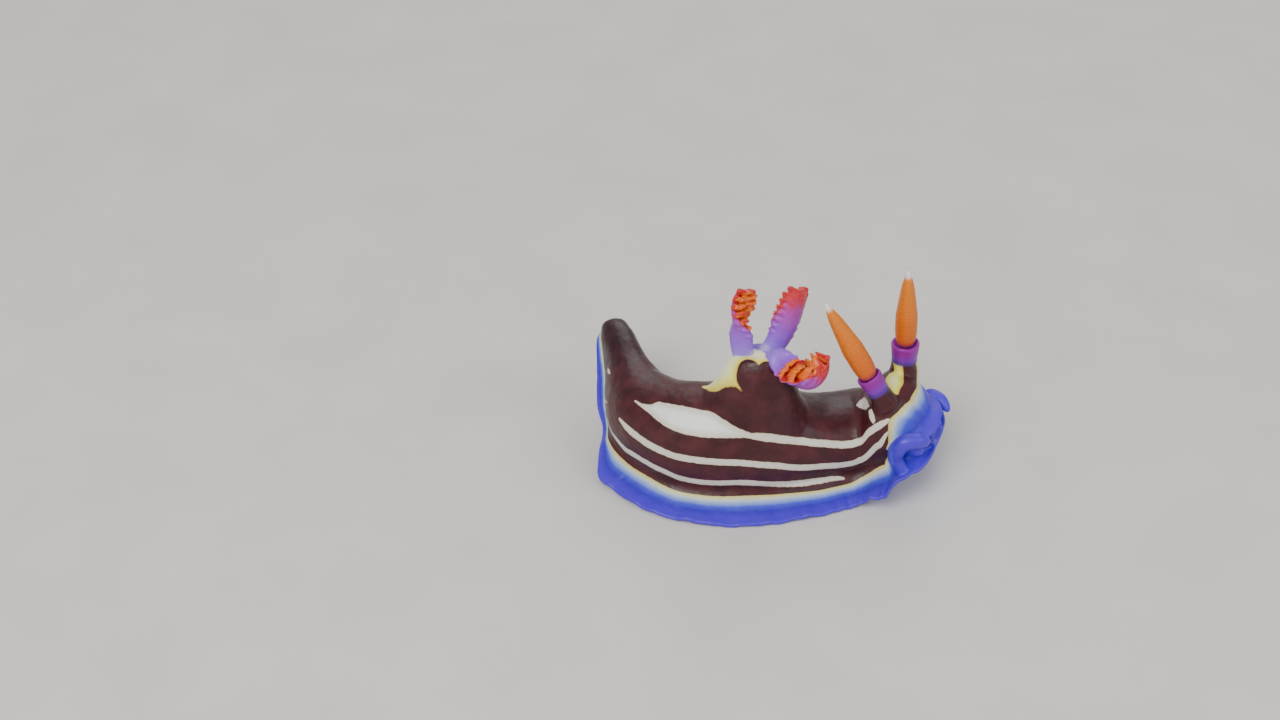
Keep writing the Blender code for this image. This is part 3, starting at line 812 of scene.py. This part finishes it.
def white_distance(t, left, up):
    """Distance inside the white marks. The left flank has the right one's, mirrored and shifted."""
    angle = section_angle(t, left, up)
    right = np.maximum(side_marks(t, angle), polygon_distance(t, angle, HEAD_TRIANGLE))
    shifted = side_marks(t + 0.8 + 0.5 * np.sin(t / 5.0), 180.0 - angle + 2.5 * np.sin(t / 4.0))
    return np.max([right, shifted, low_stripe_distance(t, up)], axis=0)


def line_distance(ahead, left, start, end):
    """Distance in plan from a line between two places."""
    way = np.array(end) - np.array(start)
    share = ((ahead - start[0]) * way[0] + (left - start[1]) * way[1]) / (way @ way)
    share = np.clip(share, 0.0, 1.0)
    return np.hypot(ahead - start[0] - share * way[0], left - start[1] - share * way[1])


def yellow_distance(t, left, up):
    """Distance inside the pale ring round the gills, without its dark lobes, or inside the head's patch."""
    ahead = t - MOUND_AT
    turn = np.degrees(np.arctan2(left, -ahead))
    inside = along(RING_REACH, turn) - np.hypot(ahead, left)
    for start, end, radius in LOBES:
        for side in (1, -1):
            inside = np.minimum(inside, line_distance(ahead, side * left, start, end) - radius)
    ring = np.minimum(inside, up - waist_height(t) - 1.0)
    return np.maximum(ring, polygon_distance(t, section_angle(t, left, up), CREAM_PATCH))


def margin_share(t, left, up):
    """Below 0 on the body, 0 where the pale edge of the foot's margin starts, and 1 at its rim."""
    reach = np.where(left < 0.0, foot_reach(t, -1)[0], foot_reach(t, 1)[0])
    inner = np.minimum(BASE_SHARE * half_width(t), 0.75 * reach) + along(MARGIN_OUT, t)
    beyond = (np.abs(left) - inner) - (up - foot_height(t))
    return beyond / np.clip(reach - inner + 1.2, 0.6, None)


def fold_share(points):
    """The same near the folds beside the head, which have the margin's colour."""
    share = np.full(len(points), -5.0)
    forward, aside, above = head_coordinates(points)
    close = (np.abs(forward - 4.0) < 6.0) & (np.abs(aside) > 4.0) & (above < 11.0)
    for side in (-1, 1):
        path, radius = fold_path(side)
        away = np.linalg.norm(points[close][:, None] - path, axis=2) - radius
        share[close] = np.maximum(share[close], (0.35 - away.min(axis=1)) / 0.7)
    return share


def head_share(points, t, left, up):
    """The same for the front of the head, where the veil takes the place of the margin."""
    forward, aside, _ = head_coordinates(points)
    angle = section_angle(t, left, up)
    past = t - along(FACE_LINE, angle)
    low = np.clip(9.2 - up, 0.0, 3.0)
    out = np.clip(np.hypot(forward, 0.95 * aside) - 6.4, 0.0, 4.0)
    wide = 2.6 + 3.2 * smooth(angle, 70.0, 25.0)
    share = past / wide + smooth(past, 0.0, 1.3) * (0.05 * low + 0.16 * out)
    return np.where(t > 56.0, share, -5.0)


# Materials


def srgb(red, green, blue):
    """A colour in the renderer's own numbers, from 0 to 255 as it looks."""
    parts = [v / 255.0 for v in (red, green, blue)]
    return (*[v / 12.92 if v <= 0.04045 else ((v + 0.055) / 1.055) ** 2.4 for v in parts], 1.0)


class Paint:
    """A material with a few short ways to add nodes. A colour is given from 0 to 255."""

    def __init__(self, name):
        self.material = bpy.data.materials.new(name)
        self.material.use_nodes = True
        self.tree = self.material.node_tree
        self.shader = self.tree.nodes["Principled BSDF"]

    def put(self, target, value):
        """Links a socket, or sets a number or a colour."""
        if isinstance(value, bpy.types.NodeSocket):
            self.tree.links.new(value, target)
        else:
            target.default_value = srgb(*value) if isinstance(value, tuple) else value

    def node(self, kind, inputs, **settings):
        made = self.tree.nodes.new("ShaderNode" + kind)
        for name, value in settings.items():
            setattr(made, name, value)
        for name, value in inputs.items():
            self.put(made.inputs[name], value)
        return made

    def value(self, name):
        return self.node("Attribute", {}, attribute_name=name).outputs["Fac"]

    def noise(self, scale, detail=3.0, roughness=0.5):
        place = self.node("TexCoord", {}).outputs["Object"]
        inputs = {"Vector": place, "Scale": scale, "Detail": detail, "Roughness": roughness}
        return self.node("TexNoise", inputs).outputs["Fac"]

    def math(self, operation, first, second=0.0):
        return self.node("Math", {0: first, 1: second}, operation=operation).outputs[0]

    def times(self, first, second):
        return self.math("MULTIPLY", first, second)

    def plus(self, first, second):
        return self.math("ADD", first, second)

    def uneven(self, scale, height, detail=3.0):
        """Noise round 0 with the given height."""
        return self.times(self.math("SUBTRACT", self.noise(scale, detail), 0.5), height)

    def ranged(self, value, low, high, to_low=0.0, to_high=1.0):
        inputs = {"Value": value, "From Min": low, "From Max": high, "To Min": to_low, "To Max": to_high}
        return self.node("MapRange", inputs, interpolation_type="SMOOTHSTEP").outputs["Result"]

    def ramp(self, value, stops):
        made = self.node("ValToRGB", {"Fac": value})
        points = made.color_ramp.elements
        while len(points) < len(stops):
            points.new(0.5)
        for point, (at, colour) in zip(points, stops):
            point.position = at
            point.color = srgb(*colour)
        return made.outputs["Color"]

    def mix(self, share, first, second):
        return self.node("Mix", {0: share, 6: first, 7: second}, data_type="RGBA").outputs[2]

    def bump(self, height, depth, strength=1.0, under=None):
        inputs = {"Strength": strength, "Distance": depth, "Height": height}
        if under is not None:
            inputs["Normal"] = under
        return self.node("Bump", inputs).outputs["Normal"]

    def flesh(self, colour, normal, roughness, scatter, coat):
        """Moist flesh, with light that scatters under it and a thin film on top."""
        settings = {"Base Color": colour, "Normal": normal, "Roughness": roughness, "IOR": 1.38}
        settings |= {"Subsurface Weight": scatter, "Subsurface Scale": 0.0007}
        settings |= {"Coat Weight": coat, "Coat Roughness": 0.28, "Coat IOR": 1.36}
        for name, value in settings.items():
            self.put(self.shader.inputs[name], value)
        self.shader.inputs["Subsurface Radius"].default_value = (1.0, 0.45, 0.35)


def skin_material():
    paint = Paint("skin")
    wobble = paint.uneven(1500.0, 0.22)
    fine = paint.noise(5200.0, 4.0, 0.6)
    soft = paint.noise(420.0, 3.0)
    maroon = paint.ramp(
        paint.plus(paint.times(soft, 0.8), paint.times(fine, 0.2)),
        ((0.28, (50, 15, 22)), (0.5, (68, 23, 30)), (0.72, (86, 34, 40))),
    )
    # Painted shade: the tail is painted darker, towards a dark plum, where it lay in shadow
    maroon = paint.mix(paint.times(paint.value("tail"), 0.7), maroon, (38, 20, 28))
    white_at = paint.plus(paint.value("white"), wobble)
    white = paint.ramp(
        paint.ranged(white_at, 0.0, 1.2),
        ((0.0, (222, 214, 190)), (0.35, (222, 220, 216)), (1.0, (242, 244, 242))),
    )
    colour = paint.mix(paint.ranged(white_at, -0.05, 0.08), maroon, white)
    yellow_at = paint.plus(paint.value("yellow"), wobble)
    yellow = paint.ramp(
        paint.ranged(yellow_at, 0.0, 1.5),
        ((0.0, (232, 206, 84)), (0.20, (240, 240, 110)), (1.0, (252, 253, 200))),
    )
    colour = paint.mix(paint.ranged(yellow_at, -0.06, 0.08), colour, yellow)
    margin_at = paint.plus(paint.value("margin"), paint.times(wobble, 0.18))
    margin = paint.ramp(
        paint.ranged(margin_at, 0.0, 1.0),
        (
            *((0.0, (218, 208, 118)), (0.06, (200, 212, 204)), (0.17, (146, 172, 226))),
            *((0.40, (66, 76, 216)), (0.70, (54, 28, 192)), (1.0, (74, 44, 212))),
        ),
    )
    colour = paint.mix(paint.ranged(margin_at, -0.012, 0.016), colour, margin)
    purple = paint.ramp(
        paint.value("purple_tone"),
        ((0.0, (146, 112, 228)), (0.35, (84, 42, 140)), (0.6, (128, 36, 186)), (1.0, (144, 18, 152))),
    )
    colour = paint.mix(paint.ranged(paint.value("purple"), -0.25, 0.25), colour, purple)
    normal = paint.bump(paint.noise(2600.0, 5.0, 0.65), 0.00006, 0.9)
    normal = paint.bump(paint.noise(900.0, 2.0), 0.00012, 0.7, normal)
    roughness = paint.ranged(soft, 0.3, 0.7, 0.34, 0.52)
    paint.flesh(colour, normal, roughness, 0.12, 0.25)
    return paint.material


def club_material():
    paint = Paint("club")
    fine = paint.noise(4200.0, 3.0)
    orange = paint.ramp(
        paint.value("along"),
        (
            *((0.0, (142, 40, 130)), (0.04, (196, 74, 50)), (0.10, (216, 98, 0)), (0.5, (226, 118, 0))),
            *((0.90, (228, 126, 10)), (0.945, (240, 226, 226)), (1.0, (250, 246, 250))),
        ),
    )
    # Painted shade in the grooves between the plates: darker brown where the ridge value is low
    groove_shade = paint.ranged(paint.value("ridge"), 0.0, 1.0, 0.22, 0.0)
    colour = paint.mix(groove_shade, orange, (150, 50, 6))
    colour = paint.mix(paint.ranged(fine, 0.35, 0.75, 0.0, 0.08), colour, (255, 190, 90))
    normal = paint.bump(paint.noise(3800.0, 4.0, 0.6), 0.00005, 0.8)
    paint.flesh(colour, normal, paint.ranged(fine, 0.3, 0.7, 0.36, 0.5), 0.15, 0.2)
    return paint.material


def gill_material():
    paint = Paint("gill")
    fine = paint.noise(3600.0, 3.0)
    blur = paint.uneven(900.0, 0.22, 2.0)
    length = paint.plus(paint.value("length"), blur)
    edge = paint.value("edge")
    outer = paint.ramp(
        length,
        (
            *((0.0, (176, 160, 222)), (0.06, (146, 112, 228)), (0.22, (146, 86, 224))),
            *((0.40, (150, 70, 212)), (0.55, (170, 66, 192)), (0.70, (178, 62, 168))),
            *((0.80, (200, 40, 96)), (0.90, (206, 24, 40)), (1.0, (200, 18, 26))),
        ),
    )
    reddish = paint.times(paint.ranged(edge, 0.84, 1.02), paint.ranged(length, 0.5, 0.72))
    outer = paint.mix(reddish, outer, (204, 22, 44))
    # The leaflets' orange runs in stripes across them: the lighter stripes are painted highlights
    pleat = paint.math("SINE", paint.times(paint.value("pleat"), 3.0 * math.pi * LEAFLET_PLEATS))
    orange = paint.mix(paint.ranged(pleat, -0.2, 0.9), (232, 92, 6), (246, 142, 16))
    rim = paint.plus(paint.value("rim"), paint.times(blur, 1.2))
    inner = paint.mix(paint.ranged(rim, 0.82, 0.98), orange, (196, 12, 10))
    inner = paint.mix(paint.ranged(rim, 0.22, 0.02), inner, (176, 22, 14))
    inner = paint.mix(paint.ranged(edge, 1.02, 1.16), inner, (198, 14, 16))
    colour = paint.mix(paint.ranged(paint.value("inner"), -0.06, 0.12), outer, inner)
    colour = paint.mix(paint.ranged(fine, 0.35, 0.75, 0.0, 0.07), colour, (255, 200, 230))
    normal = paint.bump(paint.noise(3400.0, 4.0, 0.6), 0.00005, 0.7)
    paint.flesh(colour, normal, paint.ranged(fine, 0.3, 0.7, 0.36, 0.5), 0.2, 0.25)
    return paint.material


def floor_material():
    paint = Paint("floor")
    colour = paint.ramp(paint.noise(60.0, 4.0), ((0.3, (214, 211, 205)), (0.7, (222, 219, 213))))
    paint.put(paint.shader.inputs["Base Color"], colour)
    paint.put(paint.shader.inputs["Roughness"], 0.9)
    return paint.material


# The pieces


def stand_for(piece, nodes):
    """Says which of the solids a piece replaces, by hiding them, and hangs the piece under the root."""
    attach(piece, "root")
    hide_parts(*nodes)


def uneven(points, size):
    """Smooth noise between -1 and 1, with lumps of the given size in millimetres."""
    return np.array([noise.noise(Vector(place)) for place in points / size])


def skin_details(points, t, left, up):
    """Small folds and unevenness of the skin, as a shift along each point's outward way."""
    angle = np.radians(section_angle(t, left, up))
    soft = 0.09 * uneven(points, 2.6) + 0.035 * uneven(points + 40.0, 0.9)
    wavy = 0.5 * uneven(points, 3.1)
    neck = hump(t + wavy, 54.6 + 0.8 * np.cos(angle), 0.7)
    behind = hump(t - wavy, 52.3 + 0.6 * np.cos(angle), 0.6)
    flank = smooth(up - foot_height(t), 1.0, 4.0)
    return soft - flank * (0.06 * neck + 0.04 * behind)


def outward(made):
    """The outward way at each point of a mesh."""
    values = np.empty(len(made.data.vertices) * 3, np.float32)
    made.data.vertices.foreach_get("normal", values)
    return values.reshape(-1, 3).astype(float)


def soft_places(points, t, left, up):
    """1 where parts of the skin run into one another, and 0 elsewhere."""
    seam = np.abs((np.abs(left) - BASE_SHARE * half_width(t)) - (up - foot_height(t))) < 1.6
    crown = (np.hypot(t - MOUND_AT, left) < 5.0) & (up > MOUND_TOP - 2.0)
    forward, _, above = head_coordinates(points)
    head = (forward > -1.0) & (above > 4.5) & (above < 15.0)
    return (seam | crown | head).astype(float)


def make_skin():
    surfaces = [body_surface(), foot_surface(), veil_surface(), lips_surface(), crown_surface()]
    surfaces += [tentacle_surface(-1), tentacle_surface(1), fold_surface(-1), fold_surface(1)]
    surfaces += [sheath_surface(base, radii, HEAD_WAYS[name]) for name, base, radii, _, _ in RHINOPHORES]
    made = joined("skin", surfaces, SKIN_VOXEL)
    points, edges = arrays_of(made.data)
    points = relaxed(points, edges, 5)
    soft = soft_places(points, *section_place(points))
    points = relaxed(points, edges, 14, 0.9 * soft, keep_volume=False)
    write_points(made, points)
    t, left, up = section_place(points)
    points = points + outward(made) * skin_details(points, t, left, up)[:, None]
    points[:, 2] = np.where(points[:, 2] < 0.02, 0.0, points[:, 2])
    write_points(made, points)
    write_marks(made, points, t, left, up)
    made.data.materials.append(skin_material())
    stand_for(made, SKIN_NODES)


def write_marks(made, points, t, left, up):
    write_value(made, "white", white_distance(t, left, up))
    write_value(made, "yellow", yellow_distance(t, left, up))
    # Painted shade on the tail: strongest at its end and gone by station 16
    write_value(made, "tail", 1.0 - smooth(t, 5.0, 16.0))
    shares = (margin_share(t, left, up), head_share(points, t, left, up), fold_share(points))
    write_value(made, "margin", np.max(shares, axis=0))
    purple = np.full(len(points), -3.0)
    tone = np.zeros(len(points))
    for name, base, _, _, _ in RHINOPHORES:
        start, way = head_place(*base), HEAD_WAYS[name]
        at = (points - start) @ way
        away = np.linalg.norm(points - start - at[:, None] * way, axis=1)
        inside = np.minimum(at - 0.7, 2.7 - away)
        purple = np.maximum(purple, np.where(away < 4.0, inside, -3.0))
        tone = np.where((away < 3.0) & (at > -1.0), 0.35 + 0.65 * smooth(at, 0.8, 2.8), tone)
    write_value(made, "purple", np.maximum(purple, crown_distance(t, left, up)))
    write_value(made, "purple_tone", tone)


def club_relief(at, angle, length):
    """The club's radius, and how high its plates and how much of them stand out, by place and angle."""
    plain = CLUB_RADIUS * along(CLUB_SHAPE, at / length)
    slant = 0.35 * np.cos(2.0 * angle)
    phase = (at + slant * plain / CLUB_RADIUS) * CLUB_PLATES / (length - 1.6)
    sharp = 1.0 - np.abs(2.0 * (phase % 1.0) - 1.0) ** 1.6
    cover = smooth(at, 0.5, 1.2) * (1.0 - smooth(at, length - 1.9, length - 1.1))
    front = 1.0 - 0.5 * hump(np.angle(np.exp(1j * angle)), 0.0, 0.18)
    ridge = sharp * cover * front
    return plain + CLUB_RIDGE * (ridge - 0.8 * cover), ridge, cover


def make_club(name, base, length):
    """A feeler's club, wrapped by many fine slanting plates."""
    direction = HEAD_WAYS[name]
    bottom = head_place(*base) + direction * (SHEATH_LENGTH + CLUB_GAP)
    angle = np.linspace(0.0, 2.0 * math.pi, CLUB_AROUND, endpoint=False)[None, :]
    at = np.concatenate([np.linspace(0.0, 0.97 * length, 620), length * np.linspace(0.973, 1.0, 14)])
    at = at[:, None]
    radius, ridge, cover = club_relief(at, angle, length)
    ring = ring_round(direction, [0.0, 1.0, 0.05], CLUB_AROUND)
    points, faces = lofted(bottom + direction * at[..., None] + ring * radius[..., None])
    data = bpy.data.meshes.new(name + "_club")
    data.from_pydata((points * MM).tolist(), [], faces)
    data.shade_smooth()
    made = add_object(name + "_club", data)
    every = np.broadcast_to(at / length, ridge.shape).ravel()
    write_value(made, "along", np.append(every, [0.0, 1.0]))
    # Low in the grooves between the plates, where the club material paints shade
    valley = np.where(cover > 0.0, 1.0 - cover * (1.0 - ridge), 1.0)
    write_value(made, "ridge", np.append(valley.ravel(), [1.0, 1.0]))
    made.data.materials.append(CLUB_PAINT)
    stand_for(made, [name])


class Gill:
    """One plume: a bent, hollow blade with two rows of fleshy leaflets on its inner side."""

    def __init__(self, name, angle, offsets, root_way, tip_way, pairs, tall, curl, beyond):
        turn = math.radians(angle)
        origin, forward, left, up = (v[0] for v in frames(MOUND_AT))
        out = left * math.sin(turn) + forward * math.cos(turn)
        base = origin + GILL_RING * out + up * (MOUND_TOP + 0.3)
        self.name = name
        self.knots = [base] + [base + np.array(offset) for offset in offsets]
        self.root_way, self.tip_way = np.array(root_way), np.array(tip_way)
        self.pairs, self.tall, self.curl, self.beyond = pairs, tall, curl, beyond
        self.pitch = LEAFLET_SPAN / (pairs - 1)

    def place(self, s):
        a, b, c, d = self.knots
        s = np.asarray(s, float)[..., None]
        return a * (1 - s) ** 3 + b * 3 * s * (1 - s) ** 2 + c * 3 * s * s * (1 - s) + d * s**3

    def frames(self, s):
        """Places on the middle line, with its direction, the way the leaflets face, and the way across."""
        s = np.atleast_1d(np.asarray(s, float))
        direction = self.place(np.clip(s + 0.01, 0, 1)) - self.place(np.clip(s - 0.01, 0, 1))
        direction /= np.linalg.norm(direction, axis=-1, keepdims=True)
        inner = self.root_way + (self.tip_way - self.root_way) * smooth(s, 0.1, 0.8)[:, None]
        face = inner - direction * np.einsum("ij,ij->i", direction, inner)[:, None]
        face /= np.linalg.norm(face, axis=-1, keepdims=True)
        return self.place(s), direction, face, np.cross(direction, face)

    def sizes(self, s):
        """Half the width and half the thickness of the blade."""
        tip = rounded(s, GILL_TIP_ROUND[0], 1.0, GILL_TIP_ROUND[1])
        return along(GILL_HALF_WIDTH, s) * tip, along(GILL_HALF_THICKNESS, s) * tip

    def curled(self, s, aside):
        """How far the sides of the blade curl up."""
        across = np.clip(np.abs(aside) / (self.sizes(s)[0] + 0.01), 0.0, 1.0)
        return self.curl * across**2 * smooth(s, 0.12, 0.4)

    def floor(self, s, aside):
        """How far the inner side lies from the middle line: round at the root, and hollow further out."""
        wide, thick = self.sizes(s)
        hollow = smooth(s, 0.12, 0.34)
        across = np.clip(np.abs(aside) / (wide + 0.01), 0.0, 1.0)
        round_side = thick * np.sqrt(1.0 - across**2)
        flat_side = thick * (0.05 + 0.55 * across**2) * np.sqrt(1.0 - across**10)
        return round_side * (1.0 - hollow) + flat_side * hollow + self.curled(s, aside)

    def blade(self):
        end = 0.9 + 0.0985 * np.sin(np.linspace(0.04, 1.0, 26) * math.pi / 2)
        s = np.concatenate([np.linspace(0.0, 0.9, 80), end])
        centre, direction, face, across = self.frames(s)
        centre[0] -= direction[0] * GILL_BURIED
        wide, thick = (v[:, None] for v in self.sizes(s))
        angle = np.linspace(0.0, 2.0 * math.pi, 64, endpoint=False)[None, :]
        side = wide * np.cos(angle)
        at = s[:, None]
        outer = self.curled(at, side) + thick * np.sin(angle)
        deep = np.where(np.sin(angle) > 0.0, self.floor(at, side), outer)
        scallop = 0.09 * np.cos(2.0 * math.pi * (at - LEAFLET_START) / self.pitch) * smooth(at, 0.2, 0.35)
        side = side * (1.0 + scallop * smooth(np.abs(side) / wide, 0.6, 1.0))
        rings = centre[:, None] + across[:, None] * side[..., None] + face[:, None] * deep[..., None]
        return lofted(rings)

    def leaflet(self, s, side, tall, seed):
        """A fleshy plate that stands across half of the blade, with a frilled rim and fine pleats."""
        centre, direction, face, across = (v[0] for v in self.frames(s))
        wide = float(self.sizes(s)[0])
        share = np.linspace(0.0, 1.0, 44)
        grown = float(smooth(s, 0.3, 0.45))
        out = 0.02 + (wide * (0.78 + 0.22 * grown) + self.beyond * grown) * share
        at = np.full(len(share), s)
        floor = self.floor(at, np.minimum(out, 0.96 * wide))
        low = floor - 0.3
        pleat = np.cos(2.0 * math.pi * LEAFLET_PLEATS * share + seed)
        sunk = 0.75 * self.curled(at, np.minimum(out, wide))
        top = np.maximum(floor + tall * leaflet_height(share) * (1.0 + 0.05 * pleat) - sunk, low + 0.1)
        half = LEAFLET_HALF * (1.0 - 0.15 * share) * (1.0 + 0.08 * pleat)
        lean = 0.30 * share + 0.08 * np.sin(7.0 * share + seed)
        rows = []
        for turn in np.linspace(0.0, 2.0 * math.pi, 22, endpoint=False):
            rise = 0.5 + 0.5 * math.copysign(abs(math.cos(turn)) ** 0.6, math.cos(turn))
            deep = low + (top - low) * rise
            ahead = lean + 0.22 * rise * tall + half * (1.0 - 0.32 * rise) * math.sin(turn)
            sideways = side * (out + 0.06 * rise * share)
            shift = np.outer(sideways, across) + np.outer(deep, face) + np.outer(ahead, direction)
            rows.append(centre + shift)
        return lofted(np.array(rows).transpose(1, 0, 2))

    def surfaces(self):
        made = [self.blade()]
        for i in range(self.pairs):
            share = i / (self.pairs - 1)
            tall = self.tall * (1.0 - 0.30 * abs(2.0 * share - 1.1))
            tall *= 0.6 + 0.4 * float(smooth(share, 0.0, 0.4))
            for side in (-1, 1):
                s = LEAFLET_START + LEAFLET_SPAN * share + 0.008 * side
                made.append(self.leaflet(s, side, tall, 1.7 * i + side))
        return made

    def write_values(self, made, points):
        """How far along, how far above the blade and how near the edge each point lies."""
        s = np.linspace(0.0, 1.0, 240)
        centre, _, face, across = self.frames(s)
        near = nearest(points, centre)
        away = points - centre[near]
        deep = np.einsum("ij,ij->i", away, face[near])
        aside = np.abs(np.einsum("ij,ij->i", away, across[near]))
        share = s[near]
        wide = self.sizes(share)[0]
        above = deep - self.floor(share, np.minimum(aside, 0.96 * wide))
        out = np.clip(aside / (wide + self.beyond), 0.0, 1.0)
        top = self.tall * leaflet_height(out) + 0.05
        write_value(made, "length", share)
        write_value(made, "inner", above + 0.16 - 2.5 * (1.0 - smooth(share, 0.22, 0.34)))
        write_value(made, "rim", np.clip(above / top, 0.0, 1.3))
        write_value(made, "edge", np.clip(aside / (wide + 0.05), 0.0, 1.3))
        # How far across the leaflets a point lies, which places the painted highlight stripes
        write_value(made, "pleat", out)


def leaflet_height(share):
    """How tall a leaflet stands, from the blade's middle line to past its edge."""
    return (0.66 + 0.34 * np.sin(math.pi * share**0.8)) * np.clip(1.0 - share**3.5, 0.0, 1.0) ** 0.5


def make_gill(gill):
    made = joined(gill.name + "_plume", gill.surfaces(), GILL_VOXEL)
    points, edges = arrays_of(made.data)
    points = relaxed(points, edges, 3)
    write_points(made, points)
    gill.write_values(made, points)
    made.data.materials.append(GILL_PAINT)
    stand_for(made, [gill.name])


def make_floor():
    data = bpy.data.meshes.new("floor")
    corners = [(FLOOR_HALF * x, FLOOR_HALF * y, 0) for x, y in ((-1, -1), (1, -1), (1, 1), (-1, 1))]
    data.from_pydata(corners, [], [(0, 1, 2, 3)])
    made = add_object("floor", data)
    made.data.materials.append(floor_material())


def make_light(name, place, aim, size, power, colour):
    data = bpy.data.lights.new(name, "AREA")
    data.energy = power
    data.size = size
    data.color = colour
    made = add_object(name, data)
    made.location = Vector(place)
    made.rotation_euler = (Vector(aim) - Vector(place)).to_track_quat("-Z", "Y").to_euler()


def make_lights():
    aim = (0.0, 0.0, 0.01)
    make_light("key", (-0.22, -0.34, 0.46), aim, 0.34, 3.1, (1.0, 0.98, 0.95))
    make_light("fill", (0.40, -0.22, 0.34), aim, 0.40, 1.1, (0.95, 0.98, 1.0))
    make_light("back", (0.05, 0.42, 0.36), aim, 0.36, 0.9, (1.0, 1.0, 1.0))
    world = bpy.data.worlds.new("world")
    world.use_nodes = True
    light = world.node_tree.nodes["Background"].inputs
    light["Color"].default_value = (0.80, 0.81, 0.82, 1.0)
    light["Strength"].default_value = 0.45
    bpy.context.scene.world = world


def make_camera():
    data = bpy.data.cameras.new("camera")
    data.lens = CAMERA_LENS
    data.sensor_width = CAMERA_SENSOR
    data.clip_start, data.clip_end = 0.01, 20.0
    made = add_object("camera", data)
    made.location = Vector(CAMERA_PLACE) * MM
    made.rotation_euler = (math.radians(90.0 - CAMERA_DOWN), 0.0, 0.0)
    bpy.context.scene.camera = made


make_camera()
make_lights()
make_floor()
make_skin()
CLUB_PAINT = club_material()
for club_name, club_base, _, _, club_length in RHINOPHORES:
    make_club(club_name, club_base, club_length)
GILL_PAINT = gill_material()
for gill_args in GILLS:
    make_gill(Gill(*gill_args))
